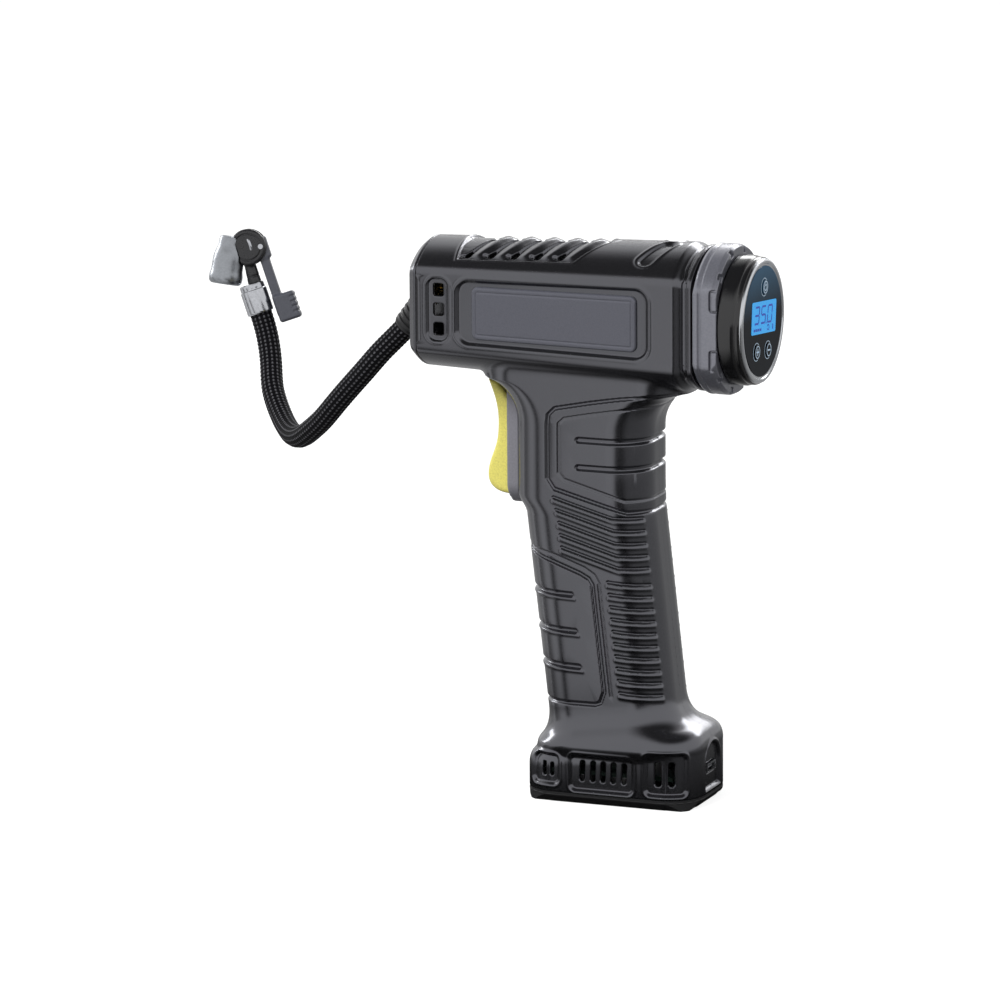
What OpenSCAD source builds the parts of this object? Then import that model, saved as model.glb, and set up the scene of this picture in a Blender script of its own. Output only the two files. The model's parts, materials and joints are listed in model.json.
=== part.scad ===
// Cordless tyre inflator in the shape of a pistol grip tool.
// X runs along the barrel from the nose to the display, Z is up, and the base stands on Z = 0.

/* [Barrel] */
// Length of the barrel from the nose to the display glass
barrel_len = 135; // [130:1:150]
// Height of the tool from the surface it stands on to the top of the barrel
tool_height = 215; // [212:1:230]
// Width across the flat sides at the nose
nose_width = 44; // [43:0.5:47]
// Width across the flat sides at the collar
tail_width = 48; // [48:0.5:52]
// Height of the barrel at the nose
nose_height = 49.5; // [49:0.5:52]
// Height of the barrel at the collar
tail_height = 57; // [56:0.5:60]
// Radius of the rounded top and bottom of the barrel
crown_radius = 31.5; // [31:0.5:34]
// Thickness of the housing walls
wall = 2.2; // [1.8:0.1:2.4]
// Length of the nose cap along the barrel
nose_cap_len = 3.5; // [3:0.1:5]
// Length of the ring between the housing and the display head
collar_len = 9.5; // [8:0.5:12]
// Distance that this ring stands out round the display head
collar_rim = 3.9; // [3.5:0.1:4.5]
// Length of the side panel
side_panel_len = 66.7; // [50:0.5:70]
// Height of the side panel
side_panel_height = 21; // [16:0.5:23]
// Width of the recess that frames the side panel
side_panel_border = 4.2; // [3:0.1:4.5]
// Depth of that recess
side_recess_depth = 1.2; // [0.8:0.1:1.4]
// Number of cooling slots on each side of the barrel's top
louvre_count = 5; // [3:1:6]
// Distance from one cooling slot to the next
louvre_pitch = 9.35; // [8:0.05:10]
// Width of a cooling slot
louvre_slot = 2.4; // [1.6:0.1:3]

/* [Grip] */
// Depth of the grip from front to back
grip_depth = 51.6; // [51:0.2:56]
// Width of the grip from side to side
grip_width = 38; // [37.5:0.5:42]
// Radius of the grip's corners
grip_corner = 14; // [10:0.5:15]
// Angle that the grip leans forward by, in degrees
grip_lean = 6.6; // [5:0.1:8]
// Distance from the barrel's middle to the grip's middle at the foot
grip_foot_x = 13; // [11:0.5:15]
// Depth of the grip's upper part, where the trigger sits
head_depth = 58; // [56:0.5:62]
// Height at which the upper part begins
head_start = 109; // [106:1:112]
// Distance that the grip flares backwards under the barrel
flare_reach = 10; // [7:0.5:12]

/* [Base] */
// Length of the base
base_len = 70; // [68:0.5:80]
// Width of the base
base_width = 46; // [46:0.5:54]
// Radius of the base's corners
base_corner = 14; // [10:0.5:16]
// Height of the base's sides at the front
base_height = 19.5; // [18:0.5:21]
// Angle that the base's top slopes upwards to the back, in degrees
base_rise = 7.8; // [5:0.1:9]
// Distance that the base's neck spreads round the grip
neck_spread = 3.6; // [3:0.1:3.8]
// Thickness of the foot cover
foot_height = 4.3; // [4:0.1:6]
// Width of the chamfer round the foot cover
foot_chamfer = 3; // [2:0.1:4]
// Number of slots in the base's side window
base_slots = 5; // [3:1:6]
// Distance between those slots
base_slot_pitch = 4.2; // [3.6:0.1:4.6]

/* [Display] */
// Length of the display head that stands out of the collar
display_len = 10; // [9:0.5:12]
// Distance that the display head stands out past the barrel's flat sides
display_step = 0.5; // [0.4:0.1:1]
// Thickness of the display head's edge round the bright ring
display_edge = 1; // [0.9:0.1:1.3]
// Width of the bright ring
ring_width = 2.7; // [2.3:0.1:2.9]
// Thickness of the display glass
lens_thickness = 1.6; // [1.2:0.1:1.8]
// Width of the liquid crystal display
lcd_width = 26; // [22:0.5:28]
// Height of the liquid crystal display
lcd_height = 11; // [9:0.5:12]
// Radius of a button
button_radius = 2.9; // [2.5:0.1:3.2]
// Distance that a button moves when pressed
button_travel = 0.6; // [0.4:0.1:0.8]
// Distance from the display's middle to each button
button_circle = 12.8; // [12.4:0.1:14]

/* [Trigger] */
// Width of the trigger
trigger_width = 11; // [9:0.5:12]
// Distance that the trigger moves when pulled
trigger_travel = 4; // [3:0.5:4.5]
// Thickness of the trigger spring's wire
spring_wire = 0.7; // [0.5:0.1:0.8]

/* [Pump] */
// Diameter of the motor
motor_diameter = 27.6; // [24:0.2:28]
// Length of the motor's can
motor_len = 34; // [30:0.5:35]
// Diameter of the motor's shaft
shaft_diameter = 3; // [2.3:0.1:3.2]
// Teeth on the motor's pinion
pinion_teeth = 10; // [9:1:10]
// Teeth on the crank gear
gear_teeth = 40; // [36:1:40]
// Size of the gear teeth, as pitch diameter for each tooth
gear_module = 0.6; // [0.58:0.01:0.6]
// Thickness of the crank gear
gear_width = 4; // [3:0.5:4]
// Distance from the crank gear's middle to its crank pin
crank_throw = 3.4; // [3:0.1:3.6]
// Distance from the cylinder head to the top of the barrel
pump_margin = 4.7; // [4.5:0.1:5]
// Diameter of the cylinder's bore
bore_diameter = 16; // [14:0.1:16]
// Thickness of the cylinder's sleeve
sleeve_wall = 1.2; // [1:0.1:1.4]

/* [Battery] */
// Diameter of a battery cell
cell_diameter = 18.4; // [18:0.1:18.6]
// Length of a battery cell
cell_len = 65; // [60:0.5:66]

/* [Hose] */
// Diameter of the air hose over its braid
hose_diameter = 8.8; // [7:0.1:9.4]
// Length of the tapered collar at the hose's root
hose_collar_len = 13; // [10:0.5:14]

/* [Chuck] */
// Diameter of the tyre valve that the chuck takes
valve_diameter = 7.8; // [7.7:0.1:8]
// Depth that the valve goes in
valve_depth = 9; // [7:0.5:10]
// Diameter of the chuck's mouth over its edge
bell_diameter = 13.2; // [12.6:0.1:13.4]
// Length of the chuck's mouth piece
bell_len = 16; // [14:0.5:16.5]
// Radius of the chuck's head
chuck_radius = 7.2; // [6.8:0.1:7.6]
// Thickness of the chuck's head
chuck_width = 9; // [8:0.5:10]
// Angle between the hose and the chuck's mouth, in degrees
bell_angle = 27; // [24:1:32]
// Length of the lever from its pin to its end
lever_len = 31; // [26:0.5:34]

/* [Fits] */
// Gap between parts that are seated on each other
seat_gap = 0.3; // [0.2:0.05:0.4]
// Gap round a shaft or a pin that turns
running_gap = 0.05; // [0.02:0.01:0.1]

/* [Hidden] */
$fn = 48;
eps = 0.01;
far = 300;

// Barrel
nose_x = -barrel_len / 2;
shell_front = nose_x + nose_cap_len;
display_x = barrel_len / 2;
collar_end = display_x - display_len;
shell_back = collar_end - collar_len;
shell_len = shell_back - shell_front;
shell_mid = (shell_front + shell_back) / 2;
barrel_z = tool_height - tail_height / 2;
mid_height = (nose_height + tail_height) / 2;
mid_width = (nose_width + tail_width) / 2;
crown_tilt = atan((tail_height - nose_height) / 2 / shell_len);
side_slope = atan((tail_width - nose_width) / 2 / shell_len);
display_radius = tail_width / 2 + display_step;
ring_radius = display_radius - display_edge;
lens_radius = ring_radius - ring_width;
collar_radius = display_radius + collar_rim;
collar_seat = 6;
rib_thickness = 2;
side_panel_x = shell_front + 56;
side_panel_z = 0.3;
nose_hole_x = shell_front + 9;
nose_hole_pitch = 7.5;
nose_hole_len = 4.2;
nose_hole_height = 4.9;
louvre_x = shell_front + 18;
louvre_lean = 28;

// Where the flat sides and the roof lie at a place along the barrel
function part_way(x) = (x - shell_front) / shell_len;
function half_width(x) = (nose_width + (tail_width - nose_width) * part_way(x)) / 2;
function roof_z(x) = barrel_z + (nose_height + (tail_height - nose_height) * part_way(x)) / 2;

// Grip and base
grip_side = grip_width / 2;
base_side = base_width / 2;
grip_top = barrel_z - 12;
grip_end = head_start + 7;
base_x = grip_foot_x - 1;
head_front = grip_foot_x - 44;
head_back = head_front + head_depth;
flare_start = barrel_z - 39;
flare_top = barrel_z - 24;
flare_lean = atan(flare_reach / (flare_top - flare_start));
base_chamfer = 2.2;
neck_front = base_x - base_len / 2 + 6;
neck_back = base_x + base_len / 2 - 12;
function grip_x(z) = grip_foot_x - z * tan(grip_lean);

// Pump, with the motor along the barrel and the cylinder upright in front of it
motor_radius = motor_diameter / 2;
shaft_radius = shaft_diameter / 2;
pinion_radius = pinion_teeth * gear_module / 2;
gear_radius = gear_teeth * gear_module / 2;
gear_distance = pinion_radius + gear_radius;
gear_side_angle = 24;
tooth_height = gear_module * 0.8;
tooth_share = 0.36;
motor_y = gear_distance * sin(gear_side_angle);
motor_z = barrel_z;
gear_z = motor_z - gear_distance * cos(gear_side_angle);
motor_x = 0;
motor_back = motor_x + motor_len;
end_cap_len = 3;
plate_thickness = 3;
plate_x = motor_x - plate_thickness - 1;
gear_x = plate_x - 1;
gear_face = gear_x - gear_width;
shaft_front = gear_face - 0.3;
fan_len = 5;
fan_radius = 10.5;
fan_x = motor_back + end_cap_len + 2.5;
crank_pin_radius = 1.3;
crank_pin_len = 3.4;
rod_thickness = 4;
rod_x = gear_face - crank_pin_len - 0.4 - rod_thickness / 2;
pump_x = rod_x;
bore_radius = bore_diameter / 2;
sleeve_radius = bore_radius + sleeve_wall;
piston_radius = bore_radius - 0.3;
piston_rise = 5.4;
piston_skirt = 1.8;
slot_rise = 3.2;
seal_drop = 1.5;
seal_thickness = 0.9;
head_thickness = 4;
head_z = roof_z(pump_x) - pump_margin - head_thickness;
crown_z = head_z - 0.4;
wrist_z = crown_z - piston_rise;
rod_len = wrist_z - gear_z - crank_throw;
wrist_radius = 1.2;
wrist_len = 2 * piston_radius - 3;
sleeve_len = 13.6;
sleeve_z = head_z - sleeve_len;
block_side = sleeve_radius + 1.6;
block_front = pump_x - sleeve_radius - 1.2;
head_screw_radius = 0.9;
stub_radius = 2;
port_radius = 2.2;
port_len = 3;
port_z = head_z + head_thickness / 2;
line_radius = 2.6;

// Trigger
trigger_side = trigger_width / 2;
trigger_gap = 0.35;
trigger_back = head_front + 8;
trigger_top = barrel_z - 28;
trigger_drop = 44.5;
bezel_reach = 2;
bezel_depth = 6.5;
bezel_side = trigger_side + 3.4;
bezel_bottom = trigger_top - trigger_drop - 3.4;
switch_x = trigger_back + trigger_travel + 4.4;
switch_len = 14;
spring_radius = 3;
spring_z = trigger_top - 20;
spring_turns = 5;

// Display
lens_back = display_x - 0.3 - lens_thickness;
housing_back = collar_end - collar_seat;
board_x = lens_back - 5.6;
board_thickness = 1.6;
board_radius = lens_radius - 1.2;
button_flange = button_radius + 0.6;
display_turn = -6;
button_angles = [90 + display_turn, 241 + display_turn, 299 + display_turn];
lcd_rise = 1;

// Battery, in the grip's own leaning frame
cell_radius = cell_diameter / 2;
cell_foot = 32;
cell_offset = cell_radius + 0.4;
tray_thickness = 2.5;
tray_depth = grip_depth - 2 * (wall + seat_gap);
tray_width = grip_width - 2 * (wall + seat_gap);

// Base
board_z = foot_height + 6;
post_radius = 3;
main_board_len = base_len - 20;
main_board_width = base_width - 14;
usb_width = 9;
usb_height = 3.3;
usb_len = 8.6;
screw_radius = 1.25;
screw_head_radius = 2.5;
boss_radius = 3.2;
screw_seat = 14;
shell_screw_len = 22;
screw_xs = [base_x - base_len / 2 + 9, base_x + base_len / 2 - 14];
window_x = base_x - 3;
window_z = foot_height + 5;
window_height = 8;
boss_places = [
    [shell_front + 9, barrel_z - 17.5], [shell_back - 8, barrel_z + 18.5], [shell_back - 8, barrel_z - 18.5],
    [grip_x(112) + 18.5, 112], [neck_front + 2.5, base_height - 2.5], [neck_back + 2, base_height - 2.5]
];

// Hose, from the nose to the chuck
hose_radius = hose_diameter / 2;
hose_route = [
    [-68.5, 0, 184.5], [-79, 0.5, 173], [-87, 0, 165.5], [-94, 1, 157.5], [-98.5, 2.5, 153],
    [-108, 5, 143], [-116, 10, 134.5], [-122.5, 14.5, 129.5], [-129.5, 21.5, 124.5],
    [-136.5, 29.5, 122.5], [-143, 38, 123.5], [-150, 46.5, 128], [-156.5, 53.5, 136],
    [-159, 60, 144], [-162.5, 64.5, 155.5], [-167, 65, 167.5]
];
hose_sides = 12;
hose_steps = 3;
hose_last = len(hose_route) - 1;
fitting_len = 14;
fitting_radius = 3;
fitting_nose = 2.4;

// Chuck, in a frame at the hose's end with Z along the hose
chuck_turn = 207;
ferrule_radius = hose_radius + 0.5;
ferrule_below = 4.5;
ferrule_above = 7.5;
head_middle = [3.6, 21.5];
stem_x = 1.6;
stem_radius = 2.8;
lever_side = chuck_width / 2 - 1.8;
lever_pivot = [8.4, 20.2];
lever_pin_radius = 1;
bell_top = [-2.6, 25];
bell_neck_radius = 4.6;
bell_bore = valve_diameter / 2 + 0.4;
seal_radius = bell_bore + 0.9;
seal_height = 2.8;
chuck_ring_radius = 4.9;
chuck_ring_wire = 0.7;

// ---------- shared shapes ----------

function arc(cx, cy, r, from, to, n) =
    [for (i = [0:n]) let (a = from + (to - from) * i / n) [cx + r * cos(a), cy + r * sin(a)]];

// Outline of a rectangle with round corners, about its middle
function round_outline(w, d, r) = concat(
    arc(w / 2 - r, d / 2 - r, r, 0, 90, 6), arc(r - w / 2, d / 2 - r, r, 90, 180, 6),
    arc(r - w / 2, r - d / 2, r, 180, 270, 6), arc(w / 2 - r, r - d / 2, r, 270, 360, 6));

module round_plate(w, d, r, h) {
    linear_extrude(height = h) polygon(round_outline(w, d, r));
}

// An outline given in X and Z, as thick as given from side to side
module side_outline(points, thickness) {
    translate([0, thickness / 2, 0]) rotate([90, 0, 0]) linear_extrude(height = thickness) polygon(points);
}

// An outline given in Y and Z, running along X
module cross_outline(points, from, to) {
    translate([from, 0, 0]) rotate([90, 0, 90]) linear_extrude(height = to - from) polygon(points);
}

module along_x(x) {
    translate([x, 0, 0]) rotate([0, 90, 0]) children();
}

// One point of a smooth curve that a row of control points pulls along
function blend_weights(t) =
    [(1 - t) ^ 3, 3 * t ^ 3 - 6 * t ^ 2 + 4, -3 * t ^ 3 + 3 * t ^ 2 + 3 * t + 1, t ^ 3] / 6;
function open_ends(p) = concat([2 * p[0] - p[1]], p, [2 * p[len(p) - 1] - p[len(p) - 2]]);
function curve_point(p, i, t) =
    let (w = blend_weights(t)) w[0] * p[i] + w[1] * p[i + 1] + w[2] * p[i + 2] + w[3] * p[i + 3];
function curve(p, steps) = [
    for (i = [0:len(p) - 4]) for (j = [0:steps - (i < len(p) - 4 ? 1 : 0)]) curve_point(p, i, j / steps)
];

// Directions along a path, and a frame that doesn't twist about it
function unit(v) = v / norm(v);
function heading(p, i) = unit(p[min(i + 1, len(p) - 1)] - p[max(i - 1, 0)]);
function side_of(t, last) = unit(last - (last * t) * t);
function sides_along(p, start, i = 0, out = []) =
    i == len(p) ? out
    : let (s = side_of(heading(p, i), i == 0 ? start : out[i - 1]))
        sides_along(p, start, i + 1, concat(out, [s]));

// A round tube, or a round rod, along a path
module tube(path, radius, count, start) {
    side = sides_along(path, start);
    rings = len(path);
    points = [for (i = [0:rings - 1]) let (t = heading(path, i), s = side[i], b = cross(t, s))
        for (k = [0:count - 1]) let (a = 360 * k / count) path[i] + radius * (cos(a) * s + sin(a) * b)];
    walls = [for (i = [0:rings - 2]) for (k = [0:count - 1]) let (n = (k + 1) % count)
        [i * count + k, i * count + n, (i + 1) * count + n, (i + 1) * count + k]];
    ends = [[for (k = [0:count - 1]) count - 1 - k], [for (k = [0:count - 1]) (rings - 1) * count + k]];
    polyhedron(points = points, faces = [for (f = concat(walls, ends)) [for (k = [len(f) - 1:-1:0]) f[k]]]);
}

// Places children at a point, with their Z along a direction
module aim(point, direction) {
    translate(point) rotate([0, acos(direction.z / norm(direction)), atan2(direction.y, direction.x)])
        children();
}

// Places children on a flat side of the barrel, where Y = 0 is the surface: 1 is the far side, -1 the near one
module on_side(side) {
    mirror([0, side < 0 ? 1 : 0, 0])
        translate([shell_mid, mid_width / 2, barrel_z]) rotate([0, 0, side_slope])
            translate([-shell_mid, 0, 0]) children();
}

// ---------- housing forms, drawn smaller by an inset for the hollow inside ----------

module barrel_form(inset, front = shell_front, back = shell_back) {
    intersection() {
        linear_extrude(height = far) polygon([
            [front, inset - half_width(front)], [back, inset - half_width(back)],
            [back, half_width(back) - inset], [front, half_width(front) - inset]
        ]);
        translate([shell_mid, 0, barrel_z + mid_height / 2 - crown_radius]) rotate([0, 90 - crown_tilt, 0])
            cylinder(r = crown_radius - inset, h = barrel_len + 40, center = true);
        translate([shell_mid, 0, barrel_z - mid_height / 2 + crown_radius]) rotate([0, 90 + crown_tilt, 0])
            cylinder(r = crown_radius - inset, h = barrel_len + 40, center = true);
    }
}

module grip_form(inset) {
    translate([grip_foot_x, 0, 0]) rotate([0, -grip_lean, 0]) translate([0, 0, base_height - 8])
        round_plate(grip_depth - 2 * inset, grip_width - 2 * inset, grip_corner - inset,
            grip_end - base_height + 8);
}

module head_form(inset) {
    intersection() {
        translate([(head_front + head_back) / 2, 0, head_start])
            round_plate(head_depth - 2 * inset, grip_width - 2 * inset, grip_corner - inset,
                grip_top - head_start);
        side_outline([
            [head_front - 5.4 + inset, grip_top], [head_front - 5.4 + inset, head_start + 16],
            [head_front + 5.4 + inset, head_start], [head_back + 5, head_start], [head_back + 5, grip_top]
        ], grip_width);
    }
    intersection() {
        translate([head_back - inset, 0, flare_start]) rotate([0, flare_lean, 0])
            translate([-head_depth / 4, 0, -20])
            round_plate(head_depth / 2, grip_width - 1 - 2 * inset, grip_corner - inset, 80);
        translate([head_front + head_depth / 3, -far / 2, flare_start - 12])
            cube([head_depth * 2 / 3 + flare_reach - inset, far, grip_top - flare_start + 12]);
    }
}

// The base has a sloping top with chamfered edges, and a neck that spreads round the grip's foot
module base_form(inset) {
    slope_len = base_len / cos(base_rise);
    side = base_side - inset;
    intersection() {
        translate([base_x, 0, foot_height])
            round_plate(base_len - 2 * inset, base_width - 2 * inset, base_corner - inset, base_height * 2);
        translate([base_x - base_len / 2, 0, base_height]) rotate([0, -base_rise, 0]) intersection() {
            cross_outline([
                [-side, -far / 2], [side, -far / 2], [side, -base_chamfer - inset],
                [side - base_chamfer, -inset], [base_chamfer - side, -inset], [-side, -base_chamfer - inset]
            ], -far / 2, far / 2);
            side_outline([
                [inset - 3, -far / 2], [slope_len + 3 - inset, -far / 2],
                [slope_len + 3 - inset, -base_chamfer - 3 - inset],
                [slope_len - base_chamfer - 3 - inset, 3 - inset],
                [base_chamfer + 3 + inset, 3 - inset], [inset - 3, -base_chamfer - 3 - inset]
            ], base_width + 2);
        }
    }
    neck_form(inset);
}

module neck_form(inset) {
    deep = grip_depth / 2 - inset;
    side = grip_side - inset;
    low = base_height - 6;
    translate([grip_foot_x, 0, 0]) rotate([0, -grip_lean, 0]) intersection() {
        translate([0, 0, low])
            round_plate(2 * (deep + neck_spread), 2 * (side + neck_spread),
                grip_corner + neck_spread - inset, 30);
        side_outline([
            [-deep - neck_spread - 1, low], [deep + neck_spread + 1, low],
            [deep + neck_spread + 1, base_height + 8], [deep - 0.5, base_height + 17 - inset],
            [0.5 - deep, base_height + 9 - inset],
            [-deep - neck_spread - 1, base_height]
        ], base_width);
        cross_outline([
            [-side - neck_spread - 1, low], [side + neck_spread + 1, low],
            [side + neck_spread + 1, base_height + 3], [side - 0.5, base_height + 13 - inset],
            [0.5 - side, base_height + 13 - inset], [-side - neck_spread - 1, base_height + 3]
        ], -far, far);
    }
}

module housing_form(inset) {
    barrel_form(inset, shell_front + (inset > 0 ? -1 : 0), shell_back + (inset > 0 ? 1 : 0));
    grip_form(inset);
    head_form(inset);
    base_form(inset);
}

module half_space(side) {
    translate([-far / 2, side > 0 ? 0 : -far / 2, -1]) cube([far, far / 2, far]);
}

// Ribs across the barrel, with the motor's seat cut out of them
module motor_ribs() {
    difference() {
        union() {
            for (x = [motor_x - rib_thickness / 2 + 0.3, motor_back - rib_thickness - 1]) {
                intersection() {
                    barrel_form(wall / 2);
                    translate([x, -far / 2, 0]) cube([rib_thickness, far, far]);
                }
            }
        }
        along_x(motor_x - 10) translate([-motor_z, motor_y, 0])
            cylinder(r = motor_radius + seat_gap, h = motor_len + 20);
        translate([motor_x - 10, -8, barrel_z - 60]) cube([motor_len + 20, 16, 48]);
    }
}

// ---------- cuts through the housing ----------

module nose_holes() {
    for (side = [-1, 1]) {
        on_side(side) {
            for (row = [-1:1]) {
                translate([nose_hole_x - nose_hole_len / 2, -wall - 1, row * nose_hole_pitch - 1.7])
                    cube([nose_hole_len, wall + 3, nose_hole_height]);
            }
        }
    }
}

module side_recesses() {
    for (side = [-1, 1]) {
        on_side(side) {
            translate([side_panel_x, 1, side_panel_z]) rotate([90, 0, 0])
                round_plate(side_panel_len + 2 * side_panel_border,
                    side_panel_height + 2 * side_panel_border - 3.4, 5,
                    side_recess_depth + 1);
        }
    }
}
module louvres() {
    for (side = [-1, 1]) {
        for (i = [0:louvre_count - 1]) {
            translate([louvre_x + i * louvre_pitch, side * 12.5, barrel_z + 22])
                rotate([-side * louvre_lean, 0, 0])
                translate([-louvre_slot / 2, -5.5, -8]) cube([louvre_slot, 11, 16]);
        }
    }
}

module base_windows() {
    for (i = [0:base_slots - 1]) {
        translate([window_x + (i - (base_slots - 1) / 2) * base_slot_pitch - 0.8, -base_side - 1, window_z])
            cube([1.6, base_width + 2, window_height]);
    }
    for (x = [base_len / 2 - 14, base_len / 2 - 9.6]) {
        translate([base_x + x, -base_side - 1, window_z]) cube([2.2, base_width + 2, window_height]);
    }
}

module usb_cut() {
    translate([base_x + base_len / 2 - wall - 3, -usb_width / 2 - seat_gap,
        board_z + board_thickness - seat_gap])
        cube([wall + 4, usb_width + 2 * seat_gap, usb_height + 2 * seat_gap]);
}

module bezel_cut() {
    translate([head_front - 1, -bezel_side - seat_gap, bezel_bottom - seat_gap])
        cube([bezel_depth - bezel_reach + 1 + seat_gap, 2 * (bezel_side + seat_gap),
            trigger_top + 1 - bezel_bottom + 2 * seat_gap]);
    translate([head_front - 1, -trigger_side - 1, trigger_top - trigger_drop])
        cube([12, trigger_width + 2, trigger_drop]);
}

module bosses(radius, length) {
    for (p = boss_places) {
        translate([p.x, 0, p.y]) rotate([90, 0, 0]) cylinder(r = radius, h = length, center = true);
    }
}

module shell(side) {
    difference() {
        intersection() {
            union() {
                difference() {
                    housing_form(0);
                    housing_form(wall);
                    translate([base_x, 0, foot_height - 1])
                        round_plate(base_len - 2 * wall, base_width - 2 * wall, base_corner - wall, 5);
                }
                motor_ribs();
                intersection() {
                    housing_form(wall / 2);
                    bosses(boss_radius, base_width * 2);
                }
            }
            half_space(side);
        }
        side_recesses();
        nose_holes();
        louvres();
        base_windows();
        usb_cut();
        bezel_cut();
        bosses(screw_radius, base_width - 16);
        for (p = boss_places) {
            translate([p.x, screw_seat, p.y]) rotate([-90, 0, 0])
                cylinder(r = screw_head_radius + seat_gap, h = 20);
        }
    }
}

module left_shell() {
    color([0.22, 0.22, 0.24]) shell(-1);
}

module right_shell() {
    color([0.22, 0.22, 0.24]) shell(1);
}

// The nose cap: a plate with a chamfered rim, and a slanted boss that the hose leaves by
module front_cap() {
    start = hose_route[0];
    out = hose_route[1] - start;
    color([0.2, 0.2, 0.22]) difference() {
        union() {
            barrel_form(0, shell_front - nose_cap_len * 0.55, shell_front);
            barrel_form(1, nose_x, shell_front);
            barrel_form(wall + seat_gap, shell_front - 1, shell_front + 3);
            intersection() {
                aim(start, out) translate([0, 0, -7]) cylinder(r = hose_radius + 2.6, h = 7);
                translate([nose_x - 10, -far / 2, 0]) cube([12, far, far]);
            }
        }
        barrel_form(2 * wall, shell_front, shell_front + 4);
        aim(start, out) translate([0, 0, -20]) cylinder(r = fitting_radius, h = 25);
        aim(start, out) translate([0, 0, -0.1]) cylinder(r = hose_radius + 4, h = 10);
    }
}

module rear_collar() {
    color([0.24, 0.24, 0.26]) difference() {
        intersection() {
            along_x(shell_back) translate([-barrel_z, 0, 0]) cylinder(r = collar_radius, h = collar_len);
            translate([shell_back - 1, -tail_width / 2 - 0.4, 0]) cube([collar_len + 2, tail_width + 0.8, far]);
        }
        along_x(shell_back - 1) translate([-barrel_z, 0, 0])
            cylinder(r = display_radius - 1 + seat_gap, h = collar_len + 2);
        for (side = [-1, 1]) {
            for (z = [-13.5, 6.5]) {
                translate([collar_end - 2.2, side * tail_width / 2 - 1.5, barrel_z + z]) cube([3, 3, 7]);
            }
        }
    }
}

module display_housing() {
    color([0.12, 0.12, 0.13]) translate([0, 0, barrel_z]) rotate([0, 90, 0]) difference() {
        union() {
            translate([0, 0, collar_end]) cylinder(r = display_radius, h = display_len - 1.2);
            translate([0, 0, housing_back]) cylinder(r = display_radius - 1, h = collar_seat + 1);
        }
        translate([0, 0, housing_back + 2]) cylinder(r = board_radius + seat_gap, h = far);
        translate([0, 0, lens_back - 0.8]) cylinder(r = ring_radius + eps, h = far);
        translate([0, 0, housing_back - 1]) cylinder(r = 6, h = far);
    }
}

module bezel_ring() {
    color([0.8, 0.8, 0.82]) translate([0, 0, barrel_z]) rotate([0, 90, 0]) difference() {
        translate([0, 0, lens_back - 0.8]) cylinder(r = ring_radius, h = display_x - lens_back + 0.8);
        translate([0, 0, lens_back - 2]) cylinder(r = lens_radius - 0.6, h = far);
        translate([0, 0, lens_back]) cylinder(r = lens_radius + 0.05, h = far);
    }
}

module at_button(angle) {
    translate([0, button_circle * cos(angle), barrel_z + button_circle * sin(angle)]) children();
}

module display_lens() {
    color([0.04, 0.06, 0.08]) difference() {
        translate([lens_back, 0, barrel_z]) rotate([0, 90, 0]) cylinder(r = lens_radius, h = lens_thickness);
        for (angle = button_angles) {
            at_button(angle) translate([lens_back - 1, 0, 0]) rotate([0, 90, 0])
                cylinder(r = button_radius + 0.1, h = lens_thickness + 2);
        }
    }
}

module lcd_module() {
    color([0.25, 0.6, 0.9]) translate([board_x + board_thickness, 0, barrel_z]) rotate([display_turn, 0, 0])
        translate([0, -lcd_width / 2, lcd_rise - lcd_height / 2])
            cube([lens_back - board_x - board_thickness - 0.1, lcd_width, lcd_height]);
}

module display_board() {
    color([0.1, 0.35, 0.2]) {
        translate([board_x, 0, barrel_z]) rotate([0, 90, 0]) cylinder(r = board_radius, h = board_thickness);
        for (angle = button_angles) {
            at_button(angle) translate([board_x + board_thickness - 0.1, -1.5, -1.5]) cube([1.1, 3, 3]);
        }
        for (y = [-12, 12]) {
            translate([housing_back + 2, y, barrel_z]) rotate([0, 90, 0])
                cylinder(r = 2, h = board_x - housing_back - 2 + 0.1);
        }
    }
}

module button(angle) {
    at_button(angle) rotate([0, 90, 0]) {
        translate([0, 0, lens_back - 1]) cylinder(r = button_radius, h = display_x + 0.1 - lens_back + 1);
        translate([0, 0, lens_back - 1]) cylinder(r = button_flange, h = 0.9);
        translate([0, 0, board_x + board_thickness + 1 + button_travel + 0.1])
            cylinder(r = 1, h = lens_back - 1 - board_x - board_thickness - 1 - button_travel);
    }
}

module power_button() {
    color([0.15, 0.15, 0.16]) button(button_angles[0]);
}

module plus_button() {
    color([0.15, 0.15, 0.16]) button(button_angles[1]);
}

module minus_button() {
    color([0.15, 0.15, 0.16]) button(button_angles[2]);
}

module side_panel(side) {
    on_side(side) translate([side_panel_x, seat_gap - eps, side_panel_z]) rotate([90, 0, 0])
        round_plate(side_panel_len, side_panel_height, 2.6, side_recess_depth + seat_gap - eps);
}

module side_panel_left() {
    color([0.38, 0.38, 0.41]) side_panel(-1);
}

module side_panel_right() {
    color([0.38, 0.38, 0.41]) side_panel(1);
}

module trigger_bezel() {
    height = trigger_top + 0.6 - bezel_bottom;
    color([0.45, 0.45, 0.48]) difference() {
        union() {
            translate([head_front - bezel_reach, -bezel_side, bezel_bottom + 3])
                cube([bezel_depth, 2 * bezel_side, height - 3]);
            translate([head_front - bezel_reach + 1, -bezel_side, bezel_bottom])
                cube([bezel_depth - 1, 2 * bezel_side, 4]);
        }
        translate([head_front - bezel_reach - 1, -trigger_side - trigger_gap,
            trigger_top - trigger_drop - trigger_gap])
            cube([bezel_depth + 2, trigger_width + 2 * trigger_gap, trigger_drop + 2 * trigger_gap]);
    }
}

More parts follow.
